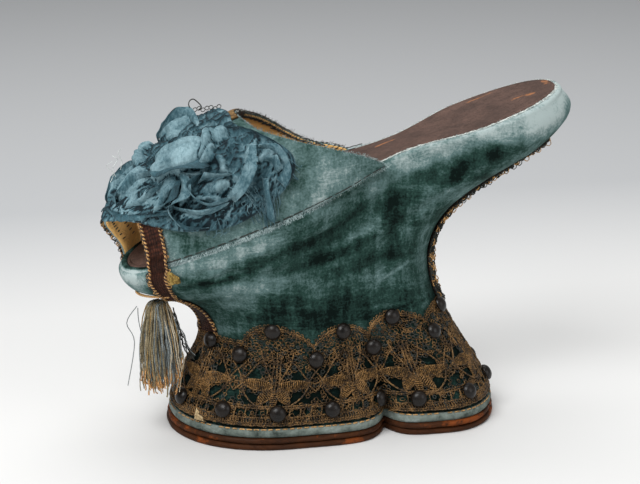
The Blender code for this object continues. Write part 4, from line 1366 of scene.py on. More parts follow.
def seam_threads(rng):
    """The dark feather seam under the vamp, the velvet frayed below it and at the rim."""
    rim_row = LEVELS[TOP]
    runs = []
    for side in (-1, 1):
        path = []
        for x in np.linspace(-80.0, 26.0, 150):
            foot = on_vamp(x, side * 0.985, 0.35)
            path.append(foot + Vector((0, 0, 0.1 * math.sin(x * 2.1))))
        for start in range(0, 148, 7):
            part = path[start : start + rng.choice((6, 7, 8))]
            runs.append(Run(part, rng.uniform(0.16, 0.26)))
        for _ in range(420):
            x = rng.uniform(-78.0, 26.0)
            start = on_vamp(x, side * 0.99, 0.5)
            share = (start.x - rim_row.front_x) / (rim_row.back_x - rim_row.front_x)
            drop = rng.uniform(0.15, 0.5)
            lean = rng.uniform(-0.008, 0.008)
            low = on_platform(TOP - drop, clamp(share + lean), side, 0.25)
            rim = on_platform(TOP - 0.02, clamp(share + 0.3 * lean), side, 0.5)
            rim += Vector((0, 0, 0.8))
            runs.append(Run([start, rim, low], rng.uniform(0.08, 0.14), 2))
        for strand in range(3):
            edge = []
            for share in np.linspace(0.55, 0.999, 150):
                wave = Vector((share * 90.0, strand * 7.0, side))
                inset = 2.6 + 0.25 * strand + 0.5 * noise.noise(wave)
                rise = Vector((0, 0, 1.75 + 0.3 * noise.noise(wave * 1.7)))
                edge.append(platform_point(grown(rim_row, -inset), share, side) + rise)
            runs.append(Run(edge, 0.2, 3))
        for _ in range(600):
            share = 1.0 - 0.45 * rng.random() ** 1.3
            root = platform_point(grown(rim_row, -2.5), share, side) + Vector((0, 0, 1.5))
            lift = Vector((rng.uniform(-1, 1), side * rng.uniform(-1, 1), rng.uniform(0.2, 0.9)))
            runs.append(Run([root, root + lift * 0.6, root + lift], 0.1, rng.choice((2, 3, 3))))
    return runs


def lining_stitches(rng):
    """Long slanted stitches on the lining of the throat, and rows of dots at the toe."""
    runs = []
    under = -VAMP_WALL - 0.3
    for k in range(46):
        around = blend(-0.9, 0.92, k / 45)
        edge = value_at(THROAT_EDGE, around) - 0.9
        long = rng.uniform(3.6, 5.6)
        path = [on_vamp(edge - long * s, around - 0.05 * s, under) for s in (0.0, 0.5, 1.0)]
        runs.append(Run(path, 0.34))
    for row, inset in enumerate((2.6, 6.2)):
        for k in range(30):
            around = blend(-0.9, 0.9, (k + 0.5 * row) / 30)
            x = value_at(TOE_EDGE, around) + inset
            path = [on_vamp(x + s, around + 0.01, under) for s in (-0.5, 0.0, 0.5)]
            runs.append(Run(path, 0.3))
    return runs


def tape_bridge(side, across, lift):
    """A line of a keel tape where it turns over the rim and joins the toe binding."""
    place = front_tape_place(side)
    end, step = (0.0, 0.03) if side < 0 else (1.0, -0.03)
    low = place(0.985, across, lift)
    high = toe_binding_place(end + 0.5 * step, across, lift)
    middle = low.lerp(high, 0.5) + Vector((-0.6, 1.2 * side, 0.9))
    path = [place(0.96, across, lift), low, middle, high]
    path.append(toe_binding_place(end + 2 * step, across, lift))
    return smooth_path(path, 6)


TAPE_FACE = GAP + 0.8
THROAT_STITCHES = 230
# Rows of small thread loops. Columns: place across, lean outwards and up, count, reach,
# radius, the finishes to pick from, and the span along where it isn't the whole length.
KEEL_PICOTS = (
    (0, -1, 0.25, 34, 0.8, 0.2, (0, 1, 1)),
    (1, 1, 0.25, 26, 0.6, 0.18, (0, 1)),
)
TOE_PICOTS = (
    (0, -1, 0.1, 60, 0.95, 0.24, (1, 1, 1, 0), 0.4, 1),
    (0, -1, 0.2, 44, 0.5, 0.2, (0, 1), 0, 0.4),
    (1, 1, 0.3, 80, 0.5, 0.2, (0, 1)),
)
BRAID_PICOTS = (
    (0.02, -1, 1.6, 50, 1.25, 0.27, (0, 1)),
    (0.02, -1, 0.4, 70, 0.9, 0.3, (1, 1, 1, 0)),
    (0.98, 1, 1.6, 50, 1.25, 0.27, (0, 1)),
    (0.98, 1, 0.4, 70, 0.9, 0.3, (1, 1, 1, 0)),
    (0.3, 0, 1, 60, 1.1, 0.36, (1, 1, 1, 1, 0)),
    (0.5, 0, 1, 60, 1.1, 0.36, (1, 1, 1, 1, 0)),
    (0.7, 0, 1, 60, 1.1, 0.36, (1, 1, 1, 1, 0)),
    (0.5, 0, 1, 44, 1.4, 0.25, (0, 0, 1)),
)


class CHOPINE_OT_tapes(bpy.types.Operator):
    """Binds the toe, the keel, the throat and the back seam with tapes and braid"""

    bl_idname = "chopine.tapes"
    bl_label = "Tapes and braids"

    def execute(self, context):
        look = context.scene.chopine.trim
        strand = look.cord / MM
        rng = random.Random(7)
        tape = woven_tape("ribbed_tape", toned(look.tape, 0.15), tuple(look.tape), 16.0, 60.0)
        for name, side in (("near", -1), ("far", 1)):
            self.bind_keel(name, side, tape, strand, rng)
        self.bind_toe(tape, strand, rng)
        self.sew_throat(rng)
        self.cover_back(tape, strand, rng)
        self.add_scrap("toe_scrap", (9.9, 12.0), (0.088, 0.116), 1.1, "mustard_scrap")
        self.add_scrap("band_scrap", (0.02, 0.55), (0.052, 0.078), 1.6, "cream_scrap")
        self.edge_toe(strand)
        return {"FINISHED"}

    def bind_keel(self, name, side, tape, strand, rng):
        """A tape up one side of the front keel, and its turn over the rim to the toe."""
        place = front_tape_place(side)
        weave = strip_points(place, 90, 12)
        add_tube(f"front_tape_{name}_weave", weave, tape, "dark_tape", [f"front_tape_{name}"])
        runs = edge_cords(place, (0.04, 0.96), TAPE_FACE, strand)
        twists = threads("gilt_thread", "dark_thread")
        add_cords(f"front_tape_{name}_cords", runs, twists)
        loops = threads("gilt_thread", "black_thread")
        runs = picots(place, KEEL_PICOTS, rng)
        add_cords(f"front_tape_{name}_picots", runs, loops)
        shares = np.linspace(0.0, 1.0, 12)
        weave = [tape_bridge(side, s, GAP + 0.85) for s in shares]
        weave += [tape_bridge(side, s, GAP) for s in shares[::-1]]
        add_tube(f"toe_bridge_{name}_weave", np.array(weave), tape, "dark_tape")
        runs = []
        for across in (0.04, 0.96):
            path = tape_bridge(side, across, GAP + 1.0)
            runs += spun_cord(path, 0.45, lambda share: Vector((-0.3, 0.8 * side, 0.5)), strand)
        add_cords(f"toe_bridge_{name}_cords", runs, twists)

    def bind_toe(self, tape, strand, rng):
        """The tape round the toe's opening."""
        weave = strip_points(toe_binding_place, 120, 14)
        add_tube("toe_binding_weave", weave, tape, "dark_tape", ["toe_binding"])
        runs = edge_cords(toe_binding_place, (0.05, 0.95), GAP + 0.9, strand, 120)
        add_cords("toe_binding_cords", runs, threads("gilt_thread", "dark_thread"))
        runs = picots(toe_binding_place, TOE_PICOTS, rng)
        add_cords("toe_binding_picots", runs, threads("gilt_thread", "black_thread"))

    def sew_throat(self, rng):
        """The stitches at the throat, the seam and the lining, and the throat's braid."""
        fibres = threads("black_thread", "dark_thread", "pale_fibre", "worn_fibre")
        add_cords("throat_stitches", edge_stitches(rng), fibres)
        add_cords("seam_threads", seam_threads(rng), fibres)
        add_cords("lining_stitches", lining_stitches(rng), threads("black_thread"))
        braid = woven_tape("gilt_braid", shade(48, 34, 20), shade(150, 118, 76), 14.0, 110.0)
        weave = strip_points(throat_braid_place, 110, 9, 0.2)
        add_tube("throat_braid_weave", weave, braid, "metal_lace", ["throat_braid"])

    def cover_back(self, tape, strand, rng):
        """The shaggy black and gold braid on the keel under the heel."""
        place = back_braid_place
        weave = strip_points(place, 160, 12, 0.2)
        add_tube("back_braid_weave", weave, tape, "metal_lace", ["back_braid"])
        runs = []
        for across in (0.14, 0.38, 0.62, 0.86):
            line = [place(a, across, GAP + 1.1) for a in np.linspace(0.0, 1.0, 160)]
            runs.append(Run(line, 0.5, 2))
        runs += edge_cords(place, (0.02, 0.98), GAP + 0.7, strand, 160, 1)
        twists = threads("gilt_thread", "dark_thread", "black_thread")
        add_cords("back_braid_cords", runs, twists)
        runs = picots(place, BRAID_PICOTS, rng)
        add_cords("back_braid_picots", runs, threads("gilt_thread", "black_thread"))

    def add_scrap(self, name, levels, shares, lift, finish):
        """A ragged bit of cloth stuck on the near side of the platform."""
        points = []
        for up in np.linspace(0.0, 1.0, 18):
            line = []
            for wide in np.linspace(0.0, 1.0, 18):
                rag = noise.noise(Vector((up * 4.0, wide * 4.0, lift)))
                taper = 1.0 - 0.75 * up + 0.25 * rag
                level = blend(*levels, up + 0.12 * rag - 0.2 * up * wide)
                share = blend(*shares, wide * taper + 0.1 * rag)
                line.append(on_platform(level, share, -1, lift + 0.5 * rag))
            points.append(line)
        add_tube(name, thickened(np.array(points), 0.3), thread(finish), "blue_silk")

    def edge_toe(self, strand):
        """The gold cord under the toe's tip."""
        level = 8.3
        path = []
        for y in np.linspace(-21.0, 12.0, 40):
            share = share_at(level_at(level), y)
            path.append(on_platform(level, share, -1 if y < 0 else 1, 1.0))
        down = Vector((-0.7, 0.0, -0.7))
        runs = spun_cord(path, 0.45, lambda share: down, strand, (0, 0), 0.36, 2.8)
        add_cords("toe_tip_cord", runs, threads("gilt_thread"))


LACE_VALLEY_RISE = 4.5


def lace_top(turn):
    """Height of the lace's rounded scallops at a turn, the same on both sides."""
    around = turn % ALL_MOTIFS
    around = min(around, ALL_MOTIFS - around)
    motif = min(int(around), LACE_MOTIFS - 1)
    left, peak, right = (LACE_TOP[2 * motif + k][1] for k in range(3))
    share = around - motif
    valley = blend(left, right, share) + LACE_VALLEY_RISE
    return valley + (peak + 0.8 - valley) * math.sin(math.pi * clamp(share)) ** 0.7


def motif_width(z):
    """Length of one motif along the base at a height."""
    column = int(clamp((z - BASE_LOW_Z) / (BASE_HIGH_Z - BASE_LOW_Z)) * (BASE_ROWS - 1))
    ring = BASE.points[:, column]
    return np.linalg.norm(np.roll(ring, -1, axis=0) - ring, axis=1).sum() / ALL_MOTIFS


MOTIF_HEIGHTS = range(10, 61)
MOTIF_WIDTHS = [motif_width(z) for z in MOTIF_HEIGHTS]


def motif_width_at(z):
    return float(np.interp(z, MOTIF_HEIGHTS, MOTIF_WIDTHS))


def on_lace(motif, dx, z, lift):
    """A point on the lace: motif's turn, millimetres along from its middle, height."""
    return on_base(motif + 0.5 + dx / motif_width_at(z), z, lift)


def leaf_runs(motif, x0, z0, turn, length, width):
    """One ribbed leaf of the lace: an outline cord and the ribs between its sides."""
    c, s = math.cos(math.radians(turn)), math.sin(math.radians(turn))

    def at(along, off, extra=0.0):
        x, z = x0 + along * c - off * s, z0 + along * s + off * c
        return on_lace(motif, x, z, 1.2 + extra)

    def half(along):
        share = clamp(along / length)
        return 0.5 * width * math.sin(math.pi * share**0.75) ** 0.8

    stops = [length * k / 14 for k in range(15)]
    outline = [at(along, half(along)) for along in stops]
    outline += [at(along, -half(along)) for along in stops[-2:0:-1]]
    runs = [Run(outline, 0.38, 1, True)]
    ribs = int(length / 0.85)
    for k in range(1, ribs):
        along = length * k / ribs
        wide = half(along)
        if wide > 0.35:
            bowed = ((-1.0, 0.0), (-0.5, 0.28), (0.0, 0.1), (0.5, 0.28), (1.0, 0.0))
            runs.append(Run([at(along, off * wide, rise) for off, rise in bowed], 0.36, 1))
    return runs


# Open places in each motif of the lace, the same on either side of its middle.
# Columns: along from the middle, height, reach along, reach up.
OPENINGS = (
    (9.8, 34.3, 3.6, 2.8),
    (17.4, 35.8, 1.9, 3.6),
    (10.8, 23.8, 3.9, 2.8),
    (17.8, 24.2, 1.8, 2.6),
    (3.4, 22.6, 0.8, 2.2),
    (2.4, 17.4, 1.5, 1.5),
    (7, 17.4, 1.6, 1.5),
    (11.8, 17.4, 1.6, 1.5),
    (16.6, 17.4, 1.6, 1.5),
)
# Leaves of each palmette. Columns: start along and height, turn, length, width.
LEAVES = (
    (1, 29.3, 4, 15.5, 4.6),
    (-1, 29.3, 176, 15.5, 4.6),
    (1.2, 28.3, -48, 9.5, 4.6),
    (-1.2, 28.3, -132, 9.5, 4.6),
    (0, 27.8, -90, 9, 3.2),
)
# Bold cords of each motif: points of along and height.
STEMS = (
    ((-1.5, 27), (-1.7, 33), (-1.4, 39), (-2.2, 44)),
    ((0, 26), (0.1, 33), (0, 40), (0, 45)),
    ((1.5, 27), (1.7, 33), (1.4, 39), (2.2, 44)),
    ((-1.2, 31), (-4, 36), (-6, 41), (-6.8, 45)),
    ((1.2, 31), (4, 36), (6, 41), (6.8, 45)),
    ((-15.5, 30.5), (-12.5, 33.6), (-8, 39), (-4.5, 41.5)),
    ((15.5, 30.5), (12.5, 33.6), (8, 39), (4.5, 41.5)),
    ((-20, 38.5), (-16.5, 34), (-15, 30), (-19, 26.5)),
    ((20, 38.5), (16.5, 34), (15, 30), (19, 26.5)),
    ((-19, 29.6), (-16.5, 30.4), (-14, 29.4), (-16, 27.5)),
    ((-15, 29), (-12.8, 24.5), (-8, 20.8), (-3, 20.3)),
    ((15, 29), (12.8, 24.5), (8, 20.8), (3, 20.3)),
)


def is_open(dx, z):
    return any(
        ((abs(dx) - x) / along) ** 2 + ((z - h) / up) ** 2 < 1.0 for x, h, along, up in OPENINGS
    )


def beaded(path, radius):
    """A radius for each point of a path that swells and shrinks like a twisted cord."""
    return [radius * (1.18 if k % 2 else 0.82) for k in range(len(path))]


EDGE_PICOTS = 170
FOOT_RIBS = 330


def lace_ring(turn, z, wide, tall, lift, sides):
    """A small ring of thread on the lace."""
    return [
        on_base(turn + wide * math.cos(a), z + tall * math.sin(a), lift) for a in angles(sides)
    ]


class CHOPINE_OT_lace(bpy.types.Operator):
    """Wraps the base in scalloped metal lace"""

    bl_idname = "chopine.lace"
    bl_label = "Metal lace"

    def execute(self, context):
        rng = random.Random(12)
        ground = self.ring_mesh(context.scene.chopine.trim.mesh_step / MM, rng)
        finishes = threads("old_gilt", "black_thread")
        add_cords("base_lace_ground", ground, finishes, ["base_lace"])
        bold = self.borders(rng)
        for motif in range(ALL_MOTIFS):
            for leaf in LEAVES:
                bold += leaf_runs(motif, *leaf)
            for stem in STEMS:
                path = smooth_path([on_lace(motif, x, z, 1.25) for x, z in stem], 7)
                bold.append(Run(path, beaded(path, 0.42)))
        add_cords("base_lace_palmettes", bold, threads("old_gilt", "leaf_gilt"))
        return {"FINISHED"}

    def ring_mesh(self, step, rng):
        """The granular mesh of small rings between the palmettes."""
        runs = []
        for row, z in enumerate(np.arange(LACE_FOOT_Z + 0.8, 57.0, 0.84 * step)):
            around = motif_width_at(z) * ALL_MOTIFS
            count = int(around / step)
            for k in range(count):
                turn = ALL_MOTIFS * (k + 0.5 * (row % 2)) / count + rng.uniform(-0.02, 0.02)
                height = z + rng.uniform(-0.6, 0.6)
                reach = rng.uniform(0.4, 0.68) * step
                squash = rng.uniform(0.6, 1.2)
                lift = rng.uniform(0.7, 1.35)
                dark = int(rng.random() < 0.3)
                dx = (turn % 1.0 - 0.5) * around / ALL_MOTIFS
                if height > lace_top(turn) - 1.0 or is_open(dx, height):
                    continue
                wide = reach * ALL_MOTIFS / around
                ring = lace_ring(turn, height, wide, reach * squash, lift, 5)
                runs.append(Run(ring, rng.uniform(0.2, 0.32), dark, True))
        return runs

    def borders(self, rng):
        """The scalloped edge with its picots, and the ribbed border along the foot."""
        runs = []
        for drop, radius in ((0.1, 0.42), (1.1, 0.36)):
            path = [
                on_base(t, lace_top(t) - drop + 0.22 * math.sin(t * 61.0), 1.1)
                for t in np.linspace(0.0, ALL_MOTIFS, 900, endpoint=False)
            ]
            runs.append(Run(path, beaded(path, radius), 0, True))
        for k in range(EDGE_PICOTS):
            turn = ALL_MOTIFS * (k + rng.uniform(-0.2, 0.2)) / EDGE_PICOTS
            ring = lace_ring(turn, lace_top(turn) + 0.7, 0.022, 0.8, 1.0, 7)
            runs.append(Run(ring, 0.24, 0, True))
        for z, radius in ((12.0, 0.42), (12.9, 0.36), (15.4, 0.4), (19.6, 0.42), (20.6, 0.34)):
            path = [
                on_base(ALL_MOTIFS * k / 640, z + 0.14 * math.sin(k * 0.9), 1.15)
                for k in range(640)
            ]
            runs.append(Run(path, beaded(path, radius), 0, True))
        for k in range(FOOT_RIBS):
            turn = ALL_MOTIFS * (k + rng.uniform(-0.15, 0.15)) / FOOT_RIBS
            bowed = ((0.0, 12.0, 0.9), (0.012, 13.6, 1.4), (0.0, 15.4, 0.9))
            runs.append(Run([on_base(turn + lean, z, lift) for lean, z, lift in bowed], 0.34))
        for k in range(8 * ALL_MOTIFS):
            turn = (k + 0.5) / 8
            bar = [on_base(turn + 0.004 * s, 15.4 + 1.05 * s, 1.2) for s in range(5)]
            runs.append(Run(bar, beaded(bar, 0.42)))
        return runs


def nail_places():
    """Where the nails' heads sit: share of the base's length, side and height."""
    low = even_shares(LEVELS[1], 2 * LOW_NAILS)
    count = HIGH_NAILS_A_MOTIF * LACE_MOTIFS
    high = even_shares(LEVELS[1], count)
    places = [(low[2 * k + 1], side, LOW_NAIL_Z) for side in (-1, 1) for k in range(LOW_NAILS)]
    for side in (-1, 1):
        for k in range(1, count):
            z = value_at(LACE_TOP, k / HIGH_NAILS_A_MOTIF) - HIGH_NAIL_DROP
            places.append((high[k], side, z))
    return places


# Half of a nail's dome. Columns: out from its middle and up, as shares of its size.
NAIL_PROFILE = (
    (0, 1), (0.26, 0.97), (0.5, 0.87), (0.72, 0.68),
    (0.88, 0.42), (0.98, 0.14), (1, 0), (0.93, -0.1),
)


class CHOPINE_OT_nails(bpy.types.Operator):
    """Hammers in the two rows of domed nails"""

    bl_idname = "chopine.nails"
    bl_label = "Domed nails"

    def execute(self, context):
        tone = context.scene.chopine.trim.nail
        rng = random.Random(34)
        bm = bmesh.new()
        for share, side, z in nail_places():
            turn = turn_at_share(share, side)
            seat = NAIL_SEAT + NAIL_LIP_SEAT * bell(share - LIP_AT, LIP_SPREAD)
            centre = on_base(turn, z, 0.0)
            out = (on_base(turn, z, 1.0) - centre).normalized()
            tilt = Vector((rng.uniform(-1, 1), rng.uniform(-1, 1), rng.uniform(-1, 1))) * 0.04
            turned = (out + tilt).to_track_quat("Z", "Y").to_matrix().to_4x4()
            add_dome(bm, Matrix.Translation(centre + out * seat) @ turned)
        nodes = [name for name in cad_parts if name.startswith("nail_")]
        brown = nail_finish("nail_brown", toned(tone, 0.35), toned(tone, 1.6))
        add_piece("nail_heads", bm, brown, nodes, outwards=False)
        return {"FINISHED"}


def turn_at_share(share, side):
    """The turn on the base for a share of the side's length."""
    shares = np.linspace(0.0, 0.5, len(BASE_SHARES))
    along = float(np.interp(share, BASE_SHARES, shares))
    return (along if side < 0 else 1 - along) * ALL_MOTIFS


def add_dome(bm, place):
    """One domed head, spun from its profile and set in place."""
    made = [
        bm.verts.new((NAIL_RADIUS * r, 0.0, NAIL_HEIGHT * h)) for r, h in NAIL_PROFILE
    ]
    edges = [bm.edges.new(pair) for pair in zip(made, made[1:])]
    bmesh.ops.spin(
        bm, geom=made + edges, cent=(0, 0, 0), axis=(0, 0, 1), dvec=(0, 0, 0),
        angle=2 * math.pi, steps=20, use_merge=True, use_duplicate=False,
    )
    fresh = [v for v in bm.verts if not v.tag]
    bmesh.ops.remove_doubles(bm, verts=fresh, dist=SAME_PLACE)
    fresh = [v for v in bm.verts if not v.tag]
    faces = [f for f in bm.faces if not f.tag]
    bmesh.ops.recalc_face_normals(bm, faces=faces)
    bmesh.ops.transform(bm, matrix=place, verts=fresh)
    for item in fresh + faces:
        item.tag = True


ROSETTE_AT = (-62.0, -0.06)
VAMP_GIRTH = 62.0
# How far the heap of silk spreads. Columns: turn in degrees, reach in millimetres.
ROSETTE_REACH = (
    (0, 19), (45, 22), (90, 28), (135, 32), (180, 40.5),
    (225, 43), (270, 51), (300, 58), (313, 60), (321, 54),
    (327, 27), (340, 20), (360, 19),
)
ROSETTE_UNDER = 2.2
# Puffs of silk in the heap, each pinched off from its neighbours by a crease.
# Columns: station, across, half length, half width, turn in degrees, height.
PUFFS = (
    (-92, 0.08, 7.6, 2.6, 10, 7.5),
    (-88, -0.22, 7.3, 13.1, -8, 6.5),
    (-82.4, -0.51, 7, 5.3, -16, 5.5),
    (-76, -0.56, 7.6, 3.6, 53, 7),
    (-68.3, -0.32, 10.7, 10, -27, 10),
    (-80, 0.1, 3.1, 9, -36, 8.5),
    (-64, 0.11, 8.4, 6.8, -11, 8),
    (-55.9, -0.31, 6.7, 2.9, 68, 9),
    (-49.4, -0.3, 5, 4.3, 50, 7.5),
    (-55.3, -0.44, 4.9, 2.3, 72, 8.5),
    (-51.5, -0.54, 5.5, 2, -64, 8.5),
    (-64.6, -0.49, 7.3, 2.5, -39, 7),
    (-68.2, -0.61, 6.3, 3, 62, 7),
    (-53.9, -0.66, 6.2, 2.6, -9, 7.5),
    (-55.3, -0.72, 10, 2.2, -12, 6.5),
    (-38.1, -0.53, 6.6, 3.1, 70, 7),
    (-42.3, -0.67, 6.2, 3.1, 38, 7),
    (-63.7, -0.79, 11.8, 2.7, -23, 4.5),
    (-50, -0.83, 7.5, 3, 0, 4),
    (-31.6, -0.56, 5.5, 2.3, -3, 6),
    (-27.2, -0.67, 2.9, 4.6, 59, 6),
    (-23.2, -0.72, 3.8, 2.5, 12, 5),
    (-30.9, -0.77, 4.9, 3, 75, 4.5),
    (-37.7, -0.84, 6.9, 4, 31, 3),
    (-91, -0.43, 23.1, 2.7, -67, 4.5),
    (-79.1, -0.65, 5, 2.4, -24, 4),
)
# Ribbons over the heap, row by row along each: station, across and lift of its gathered
# edge, then of its free edge.
RIBBONS = (
    # spiral edge
    ((-64.1, -0.59, 6, -58.5, -0.55, 12),
     (-64.1, -0.65, 6, -63.4, -0.61, 12),
     (-61.1, -0.72, 6, -60.8, -0.7, 12),
     (-55.6, -0.77, 5, -55.3, -0.75, 11),
     (-48.4, -0.76, 5, -48.5, -0.75, 11),
     (-43.4, -0.72, 5, -44.1, -0.73, 10)),
    # spiral inner
    ((-61.9, -0.6, 6, -57.8, -0.58, 11.5),
     (-57.8, -0.6, 7, -56, -0.59, 12),
     (-53.8, -0.61, 7, -51.6, -0.6, 11),
     (-48.6, -0.62, 6, -47.3, -0.62, 10)),
    # s fold edge
    ((-70.3, -0.4, 6, -63.5, -0.5, 11.5),
     (-68, -0.5, 6, -62.3, -0.59, 11.5),
     (-68.2, -0.59, 6, -64.4, -0.65, 11),
     (-72.2, -0.64, 5, -70, -0.68, 10),
     (-74.3, -0.69, 4, -71.9, -0.72, 9),
     (-71.5, -0.77, 3.5, -70, -0.8, 8),
     (-65.7, -0.84, 3, -64.7, -0.85, 7),
     (-58.1, -0.88, 3, -58.3, -0.89, 6)),
    # big puff lip
    ((-79.8, -0.25, 5, -79.1, -0.34, 9),
     (-75.8, -0.35, 6, -74.9, -0.42, 10.5),
     (-69, -0.42, 6, -66.7, -0.5, 11),
     (-62.9, -0.43, 6, -60.4, -0.52, 11),
     (-58.2, -0.44, 6, -55.8, -0.52, 10.5)),
    # band
    ((-39.3, -0.45, 6, -34.8, -0.49, 10),
     (-39.9, -0.54, 6, -34.9, -0.58, 10.5),
     (-42, -0.62, 6, -36.5, -0.67, 10.5),
     (-45.8, -0.69, 5.5, -40.3, -0.74, 10),
     (-50.1, -0.74, 5, -46.2, -0.79, 8)),
    # top strip
    ((-73.6, 0.13, 7, -72.7, 0.13, 11.5),
     (-68.7, 0.14, 7, -67.8, 0.13, 12),
     (-63.2, 0.14, 7, -62.2, 0.12, 12),
     (-59.7, 0.07, 6, -56.6, 0.09, 10.5),
     (-58.1, -0.09, 5, -56, -0.05, 8)),
    # lower lip
    ((-73.3, -0.67, 4, -72.2, -0.65, 8.5),
     (-67.8, -0.74, 4, -66, -0.71, 8.5),
     (-60.1, -0.8, 4, -58.2, -0.77, 8),
     (-51.8, -0.8, 4, -49.7, -0.78, 7)),
    # knot loop
    ((-34.3, -0.5, 5, -34.1, -0.49, 9),
     (-30.2, -0.54, 5, -28.3, -0.53, 9),
     (-27.5, -0.6, 5, -24.2, -0.61, 8.5),
     (-25.3, -0.68, 4.5, -22, -0.71, 8),
     (-28, -0.74, 4, -24.3, -0.79, 7)),
    # knot inner
    ((-33.7, -0.6, 5, -31.7, -0.58, 9),
     (-29.6, -0.63, 5, -27.7, -0.61, 9),
     (-28.2, -0.7, 5, -26, -0.71, 8)),
    # left roll lip
    ((-98.8, 0.09, 4, -98, 0.05, 8),
     (-93.7, 0.07, 5, -93.7, 0.07, 9),
     (-88, 0.1, 5, -88, 0.08, 10),
     (-83.7, 0.12, 6, -82.3, 0.12, 10.5)),
    # pleat lip one
    ((-98, -0.05, 4, -93.9, -0.29, 8),
     (-90, -0.29, 5, -88.4, -0.28, 9.5),
     (-85, -0.28, 5, -83.6, -0.24, 10.5),
     (-80.1, -0.3, 5.5, -77.9, -0.34, 11)),
    # pleat lip two
    ((-92.9, -0.4, 3, -90.4, -0.43, 7.5),
     (-85.5, -0.51, 4, -82.4, -0.51, 8.5),
     (-79.4, -0.52, 4.5, -77.7, -0.5, 9.5),
     (-74.5, -0.47, 5, -74, -0.44, 10.5)),
    # pleat lip three
    ((-82.1, -0.62, 3, -79.8, -0.62, 7),
     (-76.7, -0.63, 4, -72.9, -0.64, 8),
     (-73, -0.57, 4.5, -68.3, -0.61, 9.5),
     (-71.2, -0.49, 5, -66.7, -0.52, 10.5)),
    # lower left ruffle
    ((-100, 0.05, 2.5, -102, 0.08, 5),
     (-96.1, -0.34, 2.5, -96.1, -0.43, 5),
     (-88.4, -0.55, 2.5, -87.4, -0.62, 5),
     (-81.3, -0.64, 2.5, -79.5, -0.69, 5),
     (-75.5, -0.68, 2.5, -73.3, -0.72, 5)),
    # right strip
    ((-34.2, -0.7, 4, -32.1, -0.73, 8),
     (-33.8, -0.79, 3.5, -31.2, -0.82, 7),
     (-33.5, -0.87, 3, -30.2, -0.91, 5.5),
     (-32.4, -0.94, 2.8, -29.5, -0.98, 4.5)),
)


def on_rosette(turn, share):
    """Station and across of a place in the heap: turn in degrees, share of its reach."""
    reach = value_at(ROSETTE_REACH, turn) * share
    angle = math.radians(turn)
    across = ROSETTE_AT[1] + reach * math.sin(angle) / VAMP_GIRTH
    return ROSETTE_AT[0] + reach * math.cos(angle), clamp(across, -1.0, 1.0)


def heap_lift(x, across, share):
    """How high the silk stands: each puff is a dome, and the highest one shows."""
    here = Vector((x, across * VAMP_GIRTH, 0.0))
    wave = Vector((noise.noise(here / 8.0), noise.noise(here / 8.0 + Vector((7, 3, 1))), 0.0))
    here = here + 4.0 * wave
    small = Vector((noise.noise(here / 3.0), noise.noise(here / 3.0 + Vector((2, 9, 4))), 0.0))
    here = here + 1.1 * small
    ridge = noise.noise(Vector((here.x / 7.0 + here.y / 9.0, here.y / 3.0 - here.x / 6.0, 2.0)))
    best = 3.0 + 3.4 * (0.5 - 1.6 * abs(ridge)) + 1.2 * noise.noise(here / 2.6)
    best = max(best, 2.0)
    crease = 0.3 + abs(ridge) * 3.0
    for k, (px, pa, long, wide, turn, tall) in enumerate(PUFFS):
        c, s = math.cos(math.radians(turn)), math.sin(math.radians(turn))
        dx, dy = here.x - px, here.y - pa * VAMP_GIRTH
        u, v = (dx * c + dy * s) / long, (dy * c - dx * s) / wide
        inside = 1.15 - u * u - v * v
        if inside <= 0.0:
            continue
        fold = noise.noise(Vector((u * long / 8.0, v * wide / 2.2, 5.0 * k)))
        small_fold = noise.noise(Vector((u * long / 3.5, v * wide / 1.5, 3.0 * k)))
        pinch = (1.4 * (0.5 - 2.0 * abs(fold)) - 0.4 * abs(small_fold)) * math.sqrt(inside)
        lift = 1.6 + (tall - 1.6) * inside**0.42 / 1.06 + pinch
        if lift > best:
            crease = lift - best
            best = lift
        else:
            crease = min(crease, best - lift)
    edge = clamp((1.0 - share) / 0.1) ** 0.5
    return blend(ROSETTE_UNDER, best, edge), crease


HEAP_SEAT = 0.4


def heap_points():
    """Sections of the heap from its seat out and over its top, with the painted light of its silk:
    paler the higher it stands, and painted shade in its creases.
    """
    points, heap_light_and_shade = [], []
    for turn in np.linspace(0.0, 360.0, 400, endpoint=False):
        line = [
            on_vamp(*on_rosette(turn, share), HEAP_SEAT) for share in np.linspace(0.02, 0.97, 14)
        ]
        tone = [0.0] * len(line)
        for share in np.linspace(1.0, 0.01, 84):
            x, across = on_rosette(turn, share)
            lift, crease = heap_lift(x, across, share)
            line.append(on_vamp(x, across, max(lift, ROSETTE_UNDER)))
            # painted light: paler the higher the silk stands, painted shade in the creases
            tone.append(0.022 * (lift - 3.0) - 0.85 * bell(crease, 0.5))
        points.append(line)
        heap_light_and_shade.append(tone)
    return np.array(points), np.array(heap_light_and_shade)


